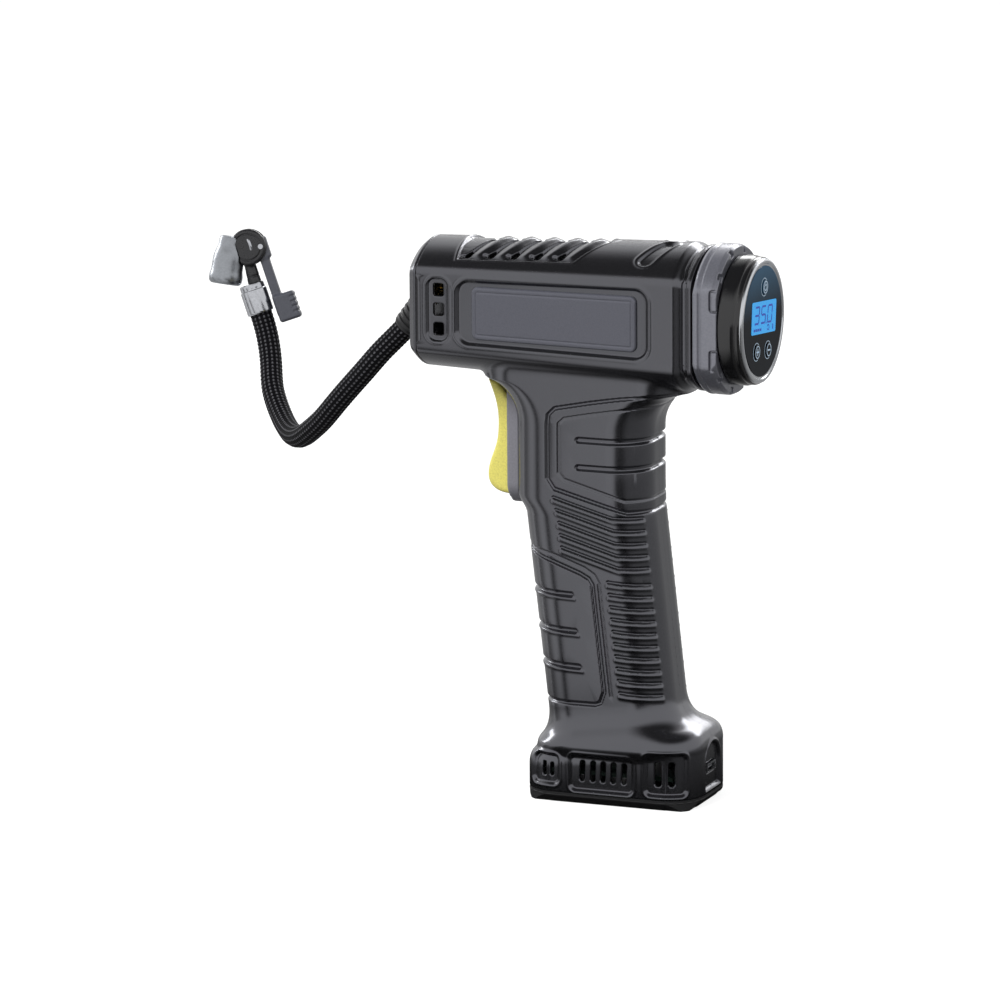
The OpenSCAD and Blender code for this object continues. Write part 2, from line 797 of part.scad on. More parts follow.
// The trigger's outline, from its top horn down its hollow front to its foot, about its back's upper end
module trigger() {
    front = [
        [-11, 0], [-8.4, -6.4], [-7, -12], [-6.8, -18], [-7.4, -25], [-10.2, -31],
        [-11.6, -37], [-10.4, -41.5], [-6.4, -44], [-2, -44.4]
    ];
    color([0.93, 0.89, 0.5]) {
        side_outline([for (p = concat(curve(front, 3), [[4, -44.4], [4, -7], [-2.4, -6.4], [-7, -1.2]]))
            [head_front + p.x, trigger_top + p.y]], trigger_width);
        translate([head_front + 3, -trigger_side, spring_z - 14])
            cube([trigger_back - head_front - 3, trigger_width, 26]);
        translate([trigger_back - 1, 0, spring_z]) rotate([0, 90, 0]) cylinder(r = 1.6, h = 3);
        translate([trigger_back - 1, -2, spring_z - 12])
            cube([switch_x - trigger_back - trigger_travel - 0.9, 4, 5]);
    }
}

module trigger_spring() {
    steps = 10;
    reach = switch_x - trigger_back - spring_wire;
    path = [for (i = [0:spring_turns * steps]) let (a = 360 * i / steps)
        [trigger_back + spring_wire / 2 + reach * i / (spring_turns * steps), spring_radius * cos(a),
            spring_z + spring_radius * sin(a)]];
    color([0.75, 0.75, 0.77]) tube(path, spring_wire / 2, 6, [1, 0, 0]);
}

// A snap switch, with a button that the trigger's tongue presses
module trigger_switch() {
    color([0.1, 0.1, 0.1]) difference() {
        union() {
            translate([switch_x, -7, spring_z - 16]) cube([switch_len, 14, 24]);
            translate([switch_x - 1.5, -1.5, spring_z - 11]) cube([3, 3, 3]);
            for (side = [-1, 1]) {
                translate([switch_x + 3, side > 0 ? 6 : seat_gap + wall - grip_side, spring_z - 14])
                    cube([4, grip_side - wall - seat_gap - 6, 20]);
            }
        }
    }
}

module motor_can() {
    color([0.7, 0.7, 0.72]) translate([0, motor_y, motor_z]) rotate([0, 90, 0]) difference() {
        union() {
            translate([0, 0, motor_x - 0.7]) cylinder(r = motor_radius, h = motor_len + 0.7);
            translate([0, 0, plate_x + 0.5]) cylinder(r = 4.5, h = plate_thickness);
        }
        translate([0, 0, plate_x - 1]) cylinder(r = shaft_radius + running_gap, h = far);
    }
}

module motor_end_cap() {
    color([0.15, 0.15, 0.16]) translate([motor_back, motor_y, motor_z]) rotate([0, 90, 0]) difference() {
        union() {
            cylinder(r = motor_radius, h = end_cap_len - 1);
            cylinder(r = 5, h = end_cap_len);
            for (y = [-8, 8]) {
                translate([0, y, end_cap_len - 1.5]) cylinder(r = 1.2, h = 3);
            }
        }
        translate([0, 0, -1]) cylinder(r = shaft_radius + running_gap, h = far);
    }
}

// A gear about Z, with straight-sided teeth and a tooth centred at the angle given
module gear(radius, teeth, width, angle) {
    root = radius - tooth_height;
    tip = radius + tooth_height * 0.8;
    pitch = 360 / teeth;
    linear_extrude(height = width) polygon([
        for (i = [0:teeth - 1])
            for (c = [[root, -tooth_share], [tip, -tooth_share / 2], [tip, tooth_share / 2], [root,
                tooth_share]])
            let (a = angle + (i + c[1] * 0.8) * pitch) [c[0] * cos(a), c[0] * sin(a)]
    ]);
}

module motor_shaft() {
    color([0.8, 0.8, 0.82]) translate([0, motor_y, motor_z]) rotate([0, 90, 0]) {
        translate([0, 0, shaft_front]) cylinder(r = shaft_radius, h = fan_x + fan_len + 0.5 - shaft_front);
        translate([0, 0, gear_face]) gear(pinion_radius, pinion_teeth, gear_width + 0.4, -gear_side_angle);
    }
}

module cooling_fan() {
    blades = 7;
    color([0.12, 0.12, 0.12]) translate([fan_x, motor_y, motor_z]) rotate([0, 90, 0]) difference() {
        union() {
            cylinder(r = 4, h = fan_len);
            for (i = [0:blades - 1]) {
                rotate([0, 0, 360 * i / blades]) translate([3.5, 0, fan_len / 2]) rotate([35, 0, 0])
                    translate([0, -2.6, -0.5]) cube([fan_radius - 3.5, 5.2, 1]);
            }
        }
        translate([0, 0, -1]) cylinder(r = shaft_radius, h = far);
    }
}

// The casting that carries the motor, the crank gear and the cylinder
module pump_frame() {
    color([0.62, 0.62, 0.64]) difference() {
        union() {
            translate([plate_x, motor_y, motor_z]) rotate([0, 90, 0])
                cylinder(r = motor_radius + 0.5, h = plate_thickness);
            translate([plate_x, -block_side, gear_z - 7])
                cube([plate_thickness, 2 * block_side, head_z - gear_z + 7]);
            translate([block_front, -block_side, sleeve_z + 0.6])
                cube([plate_x + 1 - block_front, 2 * block_side, head_z - sleeve_z - 0.6]);
            translate([gear_face - 0.2, 0, gear_z]) rotate([0, 90, 0])
                cylinder(r = stub_radius, h = plate_x + 1 - gear_face);
            translate([gear_x, 0, gear_z]) rotate([0, 90, 0]) cylinder(r = 4, h = plate_x + 0.5 - gear_x);
        }
        translate([pump_x, 0, sleeve_z - 1]) cylinder(r = sleeve_radius, h = sleeve_len + 3);
        translate([plate_x - 1, motor_y, motor_z]) rotate([0, 90, 0])
            cylinder(r = 4.6, h = plate_thickness + 3);
        translate([plate_x + plate_thickness - 0.3, motor_y, motor_z]) rotate([0, 90, 0])
            cylinder(r = motor_radius + 0.05, h = 3);
        translate([gear_face - 1, motor_y, motor_z]) rotate([0, 90, 0])
            cylinder(r = pinion_radius + tooth_height + 0.9, h = plate_x - gear_face + 1);
        at_head_screws() translate([0, 0, -8]) cylinder(r = head_screw_radius, h = 20);
    }
}

module at_head_screws() {
    for (x = [block_front + 2.1, plate_x - 0.6]) {
        for (y = [2.2 - block_side, block_side - 2.2]) {
            translate([x, y, head_z]) children();
        }
    }
}

module crank_gear() {
    color([0.85, 0.83, 0.78]) difference() {
        union() {
            translate([gear_face, 0, gear_z]) rotate([0, 90, 0])
                gear(gear_radius, gear_teeth, gear_width - 0.1, 180 - gear_side_angle + 180 / gear_teeth);
            translate([gear_face - crank_pin_len, 0, gear_z + crank_throw]) rotate([0, 90, 0])
                cylinder(r = crank_pin_radius, h = crank_pin_len + 1);
        }
        translate([gear_face - 1, 0, gear_z]) rotate([0, 90, 0])
            cylinder(r = stub_radius + running_gap, h = gear_width + 2);
    }
}

module connecting_rod() {
    eye = 3.2;
    color([0.7, 0.7, 0.72]) translate([rod_x - rod_thickness / 2, 0, 0]) rotate([0, 90, 0]) difference() {
        union() {
            translate([-gear_z - crank_throw, 0, 0]) cylinder(r = eye, h = rod_thickness);
            translate([-wrist_z, 0, 0]) cylinder(r = eye - 0.4, h = rod_thickness);
            translate([-wrist_z, -1.8, 0]) cube([rod_len, 3.6, rod_thickness]);
        }
        translate([-gear_z - crank_throw, 0, -1])
            cylinder(r = crank_pin_radius + running_gap, h = rod_thickness + 2);
        translate([-wrist_z, 0, -1]) cylinder(r = wrist_radius + running_gap, h = rod_thickness + 2);
    }
}

module wrist_pin() {
    color([0.8, 0.8, 0.82]) translate([pump_x - wrist_len / 2, 0, wrist_z]) rotate([0, 90, 0])
        cylinder(r = wrist_radius, h = wrist_len);
}

module piston() {
    color([0.78, 0.78, 0.8]) difference() {
        translate([pump_x, 0, wrist_z - piston_skirt])
            cylinder(r = piston_radius, h = piston_rise + piston_skirt);
        translate([pump_x - rod_thickness / 2 - 0.4, -6.4, wrist_z - piston_skirt - 1])
            cube([rod_thickness + 0.8, 12.8, piston_skirt + 1 + slot_rise]);
        translate([pump_x - wrist_len / 2, 0, wrist_z]) rotate([0, 90, 0])
            cylinder(r = wrist_radius, h = wrist_len);
        translate([pump_x, 0, crown_z - seal_drop]) difference() {
            cylinder(r = far, h = seal_thickness);
            translate([0, 0, -1]) cylinder(r = piston_radius - 1, h = 3);
        }
    }
}

module piston_seal() {
    color([0.08, 0.08, 0.08]) translate([pump_x, 0, crown_z - seal_drop]) difference() {
        cylinder(r = bore_radius - running_gap, h = seal_thickness);
        translate([0, 0, -1]) cylinder(r = piston_radius - 1, h = 3);
    }
}

module cylinder_sleeve() {
    color([0.75, 0.72, 0.6]) translate([pump_x, 0, sleeve_z]) difference() {
        cylinder(r = sleeve_radius, h = sleeve_len);
        translate([0, 0, -1]) cylinder(r = bore_radius, h = sleeve_len + 2);
    }
}

module cylinder_head() {
    color([0.66, 0.66, 0.68]) difference() {
        union() {
            translate([block_front, 0.6 - block_side, head_z])
                cube([plate_x + 1 - block_front, 2 * block_side - 1.2, head_thickness]);
            translate([block_front - port_len, 0, port_z]) rotate([0, 90, 0])
                cylinder(r = port_radius - 0.4, h = port_len + 1);
        }
        translate([pump_x, 0, head_z - 1]) cylinder(r = 1.2, h = 3);
        translate([block_front - port_len - 1, 0, port_z]) rotate([0, 90, 0])
            cylinder(r = 1, h = pump_x - block_front + port_len + 1);
        at_head_screws() {
            translate([0, 0, -1]) cylinder(r = head_screw_radius, h = 20);
            translate([0, 0, head_thickness - 1 - eps]) cylinder(r = 1.6, h = 5);
        }
    }
}

module head_screws() {
    color([0.5, 0.5, 0.52]) at_head_screws() difference() {
        union() {
            translate([0, 0, -6]) cylinder(r = head_screw_radius - eps, h = head_thickness + 5);
            translate([0, 0, head_thickness - 1]) cylinder(r = 1.5, h = 1);
        }
        translate([0, 0, head_thickness - 0.6]) cylinder(r = 0.7, h = 1, $fn = 6);
    }
}

// The silicone line from the cylinder head to the fitting in the nose
module air_line() {
    start = hose_route[0];
    out = unit(hose_route[1] - start);
    tail = start - fitting_len * out;
    first = [block_front - port_len, 0, port_z];
    route = [first, first - [4, 0, 0], first - [8, 0, 0], first - [13, 0, 2.5], tail - 8 * out,
        tail - 4 * out, tail];
    color([0.75, 0.78, 0.8]) tube(curve(open_ends(route), 4), line_radius, 12, [0, 1, 0]);
}

module hose_fitting() {
    start = hose_route[0];
    color([0.78, 0.66, 0.36]) aim(start, hose_route[1] - start) translate([0, 0, -fitting_len]) difference() {
        union() {
            cylinder(r = fitting_nose, h = 5);
            translate([0, 0, 4]) cylinder(r = fitting_radius - eps, h = fitting_len - 4.1);
        }
        translate([0, 0, -1]) cylinder(r = 1.4, h = 20);
    }
}

module hose_collar() {
    start = hose_route[0];
    color([0.12, 0.12, 0.13]) aim(start, hose_route[1] - start) difference() {
        union() {
            cylinder(r1 = hose_radius + 2.2, r2 = hose_radius + 0.9, h = hose_collar_len);
            for (i = [1:4]) {
                translate([0, 0, hose_collar_len * i / 5]) cylinder(r = hose_radius + 2.1 - 0.25 * i, h = 1.1);
            }
        }
        translate([0, 0, -1]) cylinder(r = hose_radius + 0.02, h = hose_collar_len + 3);
    }
}

module hose() {
    path = curve(open_ends(hose_route), hose_steps);
    color([0.1, 0.1, 0.11]) tube(path, hose_radius, hose_sides, [0, 1, 0]);
}

module battery_cell(side) {
    in_grip() translate([side * cell_offset, 0, cell_foot]) {
        cylinder(r = cell_radius, h = cell_len - 1);
        cylinder(r = 3, h = cell_len);
    }
}

module front_cell() {
    color([0.15, 0.4, 0.65]) battery_cell(-1);
}

module rear_cell() {
    color([0.15, 0.4, 0.65]) battery_cell(1);
}

module in_grip() {
    translate([grip_foot_x, 0, 0]) rotate([0, -grip_lean, 0]) children();
}

module battery_holder() {
    color([0.2, 0.2, 0.21]) in_grip() {
        for (z = [cell_foot - tray_thickness, cell_foot + cell_len]) {
            translate([0, 0, z])
                round_plate(tray_depth, tray_width, grip_corner - wall - seat_gap, tray_thickness);
        }
        for (side = [-1, 1]) {
            translate([-7, side * (cell_radius + 1.4) - 1, cell_foot - 1]) cube([14, 2, cell_len + 2]);
        }
    }
}

module main_board() {
    color([0.1, 0.35, 0.2]) {
        translate([base_x - main_board_len / 2, -main_board_width / 2, board_z])
            cube([main_board_len, main_board_width, board_thickness]);
        translate([base_x - 18, -8, board_z + board_thickness - 0.1]) cube([9, 9, 2.6]);
        translate([base_x - 4, -10, board_z + board_thickness - 0.1]) cube([6, 6, 3.6]);
        translate([base_x + 2, 3, board_z + board_thickness - 0.1]) cylinder(r = 3.2, h = 7);
    }
}

module usb_socket() {
    end_x = base_x + base_len / 2 - 0.4;
    color([0.75, 0.75, 0.77]) difference() {
        translate([end_x - usb_len, -usb_width / 2, board_z + board_thickness])
            cube([usb_len, usb_width, usb_height]);
        difference() {
            translate([end_x - usb_len + 1, 0.4 - usb_width / 2, board_z + board_thickness + 0.4])
                cube([usb_len, usb_width - 0.8, usb_height - 0.8]);
            translate([end_x - usb_len, -usb_width / 2 + 1.6,
                board_z + board_thickness + usb_height / 2 - 0.35])
                cube([usb_len - 1, usb_width - 3.2, 0.7]);
        }
    }
}

// The foot cover, with its chamfered rim, the posts that carry the main board and the lip that centres it
module base_cover() {
    half = base_len / 2;
    color([0.14, 0.14, 0.15]) difference() {
        union() {
            intersection() {
                translate([base_x, 0, 0]) round_plate(base_len, base_width, base_corner, foot_height);
                side_outline([[base_x - half + foot_chamfer, 0], [base_x + half - foot_chamfer, 0],
                    [base_x + half, foot_height - 0.8], [base_x + half, foot_height],
                    [base_x - half, foot_height], [base_x - half, foot_height - 0.8]], base_width + 2);
                cross_outline([[foot_chamfer - base_side, 0], [base_side - foot_chamfer, 0], [base_side,
                    foot_height - 0.8],
                    [base_side, foot_height], [-base_side, foot_height], [-base_side, foot_height - 0.8]],
                        -far, far);
            }
            translate([base_x, 0, foot_height - 1]) difference() {
                round_plate(base_len - 2 * (wall + seat_gap), base_width - 2 * (wall + seat_gap),
                    base_corner - wall - seat_gap, 3);
                translate([0, 0, -1])
                    round_plate(base_len - 4 * wall - 2, base_width - 4 * wall - 2,
                        base_corner - 2 * wall - 1, 6);
            }
            at_posts() cylinder(r = post_radius, h = board_z);
            for (x = screw_xs) {
                translate([x, 0, 0]) cylinder(r = 3.6, h = foot_height + 1);
            }
        }
        for (x = screw_xs) {
            translate([x, 0, -1]) cylinder(r = screw_radius, h = far);
            translate([x, 0, -1]) cylinder(r = screw_head_radius, h = 2.8);
        }
    }
}
module at_posts() {
    for (x = [base_x - main_board_len / 2 + 14, base_x + main_board_len / 2 - 14]) {
        for (y = [8 - main_board_width / 2, main_board_width / 2 - 8]) {
            translate([x, y, 0]) children();
        }
    }
}

module screw(length) {
    difference() {
        union() {
            cylinder(r = screw_radius - eps, h = length);
            translate([0, 0, -1.8]) cylinder(r = screw_head_radius - eps, h = 1.8);
        }
        for (a = [0, 90]) {
            rotate([0, 0, a]) translate([-1.4, -0.3, -2.2]) cube([2.8, 0.6, 1.4]);
        }
    }
}

module base_screws() {
    color([0.5, 0.5, 0.52]) for (x = screw_xs) {
        translate([x, 0, 1.8 - eps]) screw(board_z - 2.4);
    }
}

module shell_screws() {
    color([0.5, 0.5, 0.52]) for (p = boss_places) {
        translate([p.x, screw_seat + eps, p.y]) rotate([90, 0, 0]) screw(shell_screw_len);
    }
}

// ---------- chuck ----------

module chuck_frame() {
    last = hose_route[hose_last];
    aim(last, last - hose_route[hose_last - 1]) rotate([0, 0, chuck_turn]) children();
}

// The bell's own frame: its Z points out of the mouth
module bell_frame() {
    chuck_frame() translate([bell_top.x, 0, bell_top.y]) rotate([0, 180 + bell_angle, 0]) children();
}

module across_chuck(x, z, length) {
    translate([x, length / 2, z]) rotate([90, 0, 0]) children();
}

module hose_ferrule() {
    color([0.8, 0.8, 0.83]) chuck_frame() difference() {
        union() {
            translate([0, 0, -ferrule_below]) cylinder(r = ferrule_radius, h = ferrule_below + ferrule_above);
            for (z = [0, 3.5]) {
                translate([0, 0, z]) cylinder(r = ferrule_radius + 0.3, h = 1.6);
            }
        }
        translate([0, 0, -ferrule_below - 1]) cylinder(r = hose_radius + 0.02, h = ferrule_below + 1);
        translate([stem_x, 0, -1]) cylinder(r = 1.4, h = far);
    }
}

// The bell's outline from its neck to its mouth, larger by a gap where the head makes room for it
module bell_solid(gap) {
    mouth = bell_diameter / 2 + gap;
    neck = bell_neck_radius + gap;
    rotate_extrude() polygon([
        [0, -3 - gap], [neck, -3 - gap], [neck + 0.3, 1], [neck + 1.5, 4], [mouth - 0.4, bell_len - 5],
        [mouth, bell_len - 2.5], [mouth - 0.3, bell_len - 0.8], [mouth - 1.2, bell_len], [0, bell_len]
    ]);
}

module chuck_head() {
    color([0.1, 0.1, 0.11]) difference() {
        chuck_frame() union() {
            across_chuck(head_middle.x, head_middle.y, chuck_width) cylinder(r = chuck_radius, h = chuck_width);
            translate([stem_x, 0, ferrule_above]) cylinder(r = stem_radius, h = head_middle.y - ferrule_above);
        }
        bell_frame() bell_solid(0.1);
        chuck_frame() across_chuck(lever_pivot.x, lever_pivot.y, far) cylinder(r = lever_pin_radius, h = far);
        chuck_frame() translate([lever_pivot.x - 4.3, -lever_side - seat_gap, lever_pivot.y - 14])
            cube([15, 2 * (lever_side + seat_gap), 28]);
        chuck_frame() translate([stem_x, 0, ferrule_above - 1]) cylinder(r = 1.4, h = 10);
        ring_band(chuck_ring_wire + 0.05);
    }
}

module ring_band(wire) {
    chuck_frame() translate([head_middle.x - 1.2, 0, head_middle.y + 0.8]) rotate([0, 0, 29]) rotate([0, 90, 0])
        rotate_extrude() translate([chuck_ring_radius, 0]) circle(r = wire);
}

module chuck_ring() {
    color([0.9, 0.9, 0.92]) difference() {
        ring_band(chuck_ring_wire);
        bell_frame() bell_solid(0.1);
    }
}

module chuck_bell() {
    color([0.68, 0.7, 0.73]) bell_frame() difference() {
        bell_solid(0);
        translate([0, 0, bell_len - valve_depth - seal_height]) cylinder(r = seal_radius, h = seal_height);
        translate([0, 0, bell_len - valve_depth - eps]) cylinder(r = bell_bore, h = valve_depth + 1);
        translate([0, 0, -5]) cylinder(r = 1.5, h = 20);
    }
}

module chuck_seal() {
    color([0.1, 0.1, 0.1]) bell_frame() translate([0, 0, bell_len - valve_depth - seal_height]) difference() {
        cylinder(r = seal_radius - eps, h = seal_height);
        translate([0, 0, -1]) cylinder(r = 2.6, h = seal_height + 2);
    }
}

module chuck_lever() {
    pad = 8.6;
    foot = lever_pivot.y - lever_len;
    color([0.16, 0.16, 0.18]) chuck_frame() difference() {
        union() {
            across_chuck(lever_pivot.x, lever_pivot.y, 2 * lever_side) cylinder(r = 2.8, h = 2 * lever_side);
            translate([lever_pivot.x - 1.6, -lever_side, lever_pivot.y - 5]) cube([4.4, 2 * lever_side, 8.6]);
            translate([lever_pivot.x - 2, -lever_side, foot + 3]) cube([3.6, 2 * lever_side, lever_len - 6]);
            translate([lever_pivot.x - 2, -lever_side - 1.6, foot]) cube([pad, 2 * lever_side + 3.2, 11]);
        }
        across_chuck(lever_pivot.x, lever_pivot.y, far) cylinder(r = lever_pin_radius + running_gap, h = far);
    }
}

module lever_pin() {
    color([0.8, 0.8, 0.82]) chuck_frame() across_chuck(lever_pivot.x, lever_pivot.y, chuck_width)
        cylinder(r = lever_pin_radius, h = chuck_width);
}

left_shell();
right_shell();
front_cap();
rear_collar();
display_housing();
bezel_ring();
display_lens();
lcd_module();
display_board();
power_button();
plus_button();
minus_button();
side_panel_left();
side_panel_right();
trigger_bezel();
trigger();
trigger_spring();
trigger_switch();
motor_can();
motor_end_cap();
motor_shaft();
cooling_fan();
pump_frame();
crank_gear();
connecting_rod();
wrist_pin();
piston();
piston_seal();
cylinder_sleeve();
cylinder_head();
head_screws();
air_line();
hose_fitting();
front_cell();
rear_cell();
battery_holder();
main_board();
usb_socket();
base_cover();
base_screws();
shell_screws();
hose_collar();
hose();
hose_ferrule();
chuck_head();
chuck_bell();
chuck_seal();
chuck_ring();
chuck_lever();
lever_pin();
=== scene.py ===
"""Looks of the portable tyre inflator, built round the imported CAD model.

Lengths are written in mm and stored in metres.
"""
import json
import math
from functools import reduce

import bpy
import numpy as np
from mathutils import Matrix, Vector

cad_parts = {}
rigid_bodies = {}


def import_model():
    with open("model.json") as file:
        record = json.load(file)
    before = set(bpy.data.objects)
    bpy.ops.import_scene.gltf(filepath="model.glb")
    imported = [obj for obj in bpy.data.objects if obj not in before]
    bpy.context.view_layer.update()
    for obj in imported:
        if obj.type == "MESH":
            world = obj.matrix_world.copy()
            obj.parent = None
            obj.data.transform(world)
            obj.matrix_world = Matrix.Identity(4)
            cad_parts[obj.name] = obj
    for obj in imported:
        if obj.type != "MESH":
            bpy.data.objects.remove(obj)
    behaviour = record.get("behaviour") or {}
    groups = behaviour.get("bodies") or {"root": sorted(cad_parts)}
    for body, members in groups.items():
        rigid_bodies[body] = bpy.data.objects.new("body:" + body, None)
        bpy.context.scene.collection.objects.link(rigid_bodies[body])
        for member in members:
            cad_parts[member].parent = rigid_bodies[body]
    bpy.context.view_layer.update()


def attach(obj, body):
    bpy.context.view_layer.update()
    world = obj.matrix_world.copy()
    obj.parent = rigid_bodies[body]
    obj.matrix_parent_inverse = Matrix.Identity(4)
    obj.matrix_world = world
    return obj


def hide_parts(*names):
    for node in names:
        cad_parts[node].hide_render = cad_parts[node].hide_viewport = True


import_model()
MM = 0.001

# ---------- sizes shared with the CAD ----------

BARREL_Z, ROOF_RADIUS = 186.5, 31.5
SHELL_FRONT, SHELL_BACK, NOSE = -64.0, 48.0, -67.5
WALL = 2.6
SHELL_SCREWS = [(-55, 169), (40, 205), (40, 168), (18.5, 112), (-14.5, 17), (37, 17)]
GRIP_HALF, GRIP_CORNER = 19, 15
BASE_X, BASE_HALF, BASE_CORNER = 12.0, (35, 23), 14
FOOT = 4.3
HEAD_FRONT, TRIGGER_TOP = -31.0, 158.5
COLLAR_SPAN = 48.02, 57.5
KEY_CIRCLE, KEY_ANGLES = 12.8, {"power": 90, "plus": 241, "minus": 299}
CHUCK_TURN = 207
LEVER_PIN = (8.4, 20.2)
BELL_AT, BELL_TILT = (-2.6, 0, 25), 27
HOSE_RADIUS, HOSE_BORE = 4.4, 4.42
ROUTE = np.array([
    (-68.5, 0, 184.5), (-79, 0.5, 173), (-87, 0, 165.5), (-94, 1, 157.5), (-98.5, 2.5, 153), (-108, 5, 143),
    (-116, 10, 134.5), (-122.5, 14.5, 129.5), (-129.5, 21.5, 124.5), (-136.5, 29.5, 122.5), (-143, 38, 123.5),
    (-150, 46.5, 128), (-156.5, 53.5, 136), (-159, 60, 144), (-162.5, 64.5, 155.5), (-167, 65, 167.5)], float)


# ---------- materials ----------

GRAIN_HEIGHT = 0.2 * MM
# heights over which the glass's painted reflection grows
SHEEN_SPAN = 188.5 * MM, 205.5 * MM


def put(node, values):
    """Sets inputs of a node, by their names."""
    for name, value in values.items():
        node.inputs[name].default_value = value


def ramp(tree, value, *stops):
    """A colour for each value, from stops of a position and a colour, in order."""
    node = tree.nodes.new("ShaderNodeValToRGB")
    marks = node.color_ramp.elements
    for n, (position, colour) in enumerate(stops):
        mark = marks[n] if n < 2 else marks.new(0.5)
        mark.position, mark.color = position, (*colour, 1)
    tree.links.new(value, node.inputs["Fac"])
    return node.outputs["Color"]


def remap(tree, value, start, end, low=0.0, high=1.0):
    """What runs from low to high while a value runs from start to end."""
    node = tree.nodes.new("ShaderNodeMapRange")
    put(node, {"From Min": start, "From Max": end, "To Min": low, "To Max": high})
    tree.links.new(value, node.inputs["Value"])
    return node.outputs["Result"]


def material(name, colour, rough=0.4, metal=0.0, grain=900, vary=0.08, spread=0.06, bump=0.04,
             stretch=None, glow=0.0, ior=1.5, painted_sheen=None, tint=(1, 1, 1)):
    """A surface with fine grain: its colour, roughness and height all vary a little."""
    m = bpy.data.materials.new(name)
    m.use_nodes = True
    tree = m.node_tree
    nodes, links = tree.nodes, tree.links
    shader = nodes["Principled BSDF"]
    put(shader, {"Metallic": metal, "IOR": ior, "Specular Tint": (*tint, 1)})
    where = nodes.new("ShaderNodeTexCoord").outputs["Object"]
    out = where
    if stretch:
        mapping = nodes.new("ShaderNodeMapping")
        mapping.inputs["Scale"].default_value = stretch
        links.new(out, mapping.inputs["Vector"])
        out = mapping.outputs["Vector"]
    noise = nodes.new("ShaderNodeTexNoise")
    put(noise, {"Scale": grain, "Detail": 4})
    links.new(out, noise.inputs["Vector"])
    speck = noise.outputs["Fac"]
    dark, light = ([min(c * k, 1) for c in colour] for k in (1 - vary, 1 + vary))
    tone = ramp(tree, speck, (0.35, dark), (0.65, light))
    links.new(tone, shader.inputs["Base Color"])
    gloss = remap(tree, speck, 0.3, 0.7, max(rough - spread, 0.02), rough + spread)
    links.new(gloss, shader.inputs["Roughness"])
    if bump:
        height = nodes.new("ShaderNodeBump")
        put(height, {"Strength": bump, "Distance": GRAIN_HEIGHT})
        links.new(speck, height.inputs["Height"])
        links.new(height.outputs["Normal"], shader.inputs["Normal"])
    if painted_sheen:
        # a painted reflection: a blue sheen painted into the colour that grows towards the top, with the
        # glass's own gloss turned down
        place, fade = nodes.new("ShaderNodeSeparateXYZ"), nodes.new("ShaderNodeMix")
        fade.data_type = "RGBA"
        links.new(where, place.inputs["Vector"])
        links.new(remap(tree, place.outputs["Z"], *SHEEN_SPAN), fade.inputs["Factor"])
        links.new(tone, fade.inputs["A"])
        fade.inputs["B"].default_value = (*painted_sheen, 1)
        links.new(fade.outputs["Result"], shader.inputs["Base Color"])
        shader.inputs["Specular IOR Level"].default_value = 0.04
    if glow:
        links.new(tone, shader.inputs["Emission Color"])
        shader.inputs["Emission Strength"].default_value = glow
    return m


def hose_material():
    """Black braid, with a painted highlight on the tops of its stitches."""
    m = material("hose_braid", (0.005, 0.005, 0.006), 0.7, grain=2600, vary=0.35, bump=0.15, ior=1.2)
    tree = m.node_tree
    nodes, links = tree.nodes, tree.links
    shader = nodes["Principled BSDF"]
    # painted highlight: a light tone on the stitches' crests, read from the mesh
    fleck = nodes.new("ShaderNodeAttribute")
    fleck.attribute_name = "fleck"
    highlight_tone = ramp(tree, fleck.outputs["Fac"], (0.15, (0.003, 0.003, 0.004)), (1.0, (0.12, 0.12, 0.13)))
    old = shader.inputs["Base Color"].links[0].from_socket
    mix = nodes.new("ShaderNodeMix")
    mix.data_type = "RGBA"
    mix.inputs["Factor"].default_value = 0.8
    links.new(old, mix.inputs["A"])
    links.new(highlight_tone, mix.inputs["B"])
    links.new(mix.outputs["Result"], shader.inputs["Base Color"])
    return m


COOL = (0.90, 0.91, 1.0)
PLASTIC = material("black_plastic", (0.009, 0.009, 0.010), 0.21, grain=1500, bump=0.02, spread=0.02,
                   ior=2.05, tint=COOL)
COLLAR_PLASTIC = material("collar_plastic", (0.125, 0.127, 0.148), 0.25, grain=1500, bump=0.02,
                          spread=0.02, ior=2.1, tint=COOL)
PANEL = material("panel_plastic", (0.080, 0.082, 0.100), 0.42, grain=1800, bump=0.06, spread=0.04,
                 ior=1.7, tint=COOL)
TRIM = material("guard_plastic", (0.215, 0.212, 0.24), 0.4, grain=1500)
FOOT_PLASTIC = material("foot_plastic", (0.014, 0.014, 0.015), 0.5, grain=1200, bump=0.08)
HEAD_BLACK = material("display_black", (0.010, 0.010, 0.011), 0.16, grain=2500, bump=0.0, vary=0.05,
                      spread=0.02, ior=1.55)
RING = material("bright_ring", (0.55, 0.565, 0.59), 0.2, 1.0, grain=700, stretch=(30, 1, 1), bump=0.03)
# the glass's colour carries a painted reflection that lightens to blue towards the top
GLASS = material("display_glass", (0.004, 0.007, 0.012), 0.07, grain=300, bump=0.0, spread=0.02,
                 painted_sheen=(0.06, 0.15, 0.25))
LCD = material("lcd_blue", (0.014, 0.27, 0.62), 0.3, grain=2500, bump=0.02, glow=0.8)
DIGIT = material("lcd_digit", (0.008, 0.045, 0.36), 0.3, grain=2500, bump=0.02, glow=0.5)
ICON = material("icon_print", (0.42, 0.54, 0.66), 0.35, grain=2500, bump=0.02, glow=0.35)
YELLOW = material("trigger_yellow", (0.84, 0.76, 0.18), 0.33, grain=1500, bump=0.03)
STEEL = material("steel", (0.50, 0.51, 0.53), 0.28, 1.0, stretch=(1, 1, 8))
SCREW = material("black_screw", (0.03, 0.03, 0.032), 0.35, 0.9, grain=1500)
CAST = material("casting", (0.34, 0.35, 0.36), 0.5, 1.0, grain=1100, bump=0.2)
CELL = material("cell_wrap", (0.03, 0.16, 0.30), 0.35, grain=500)
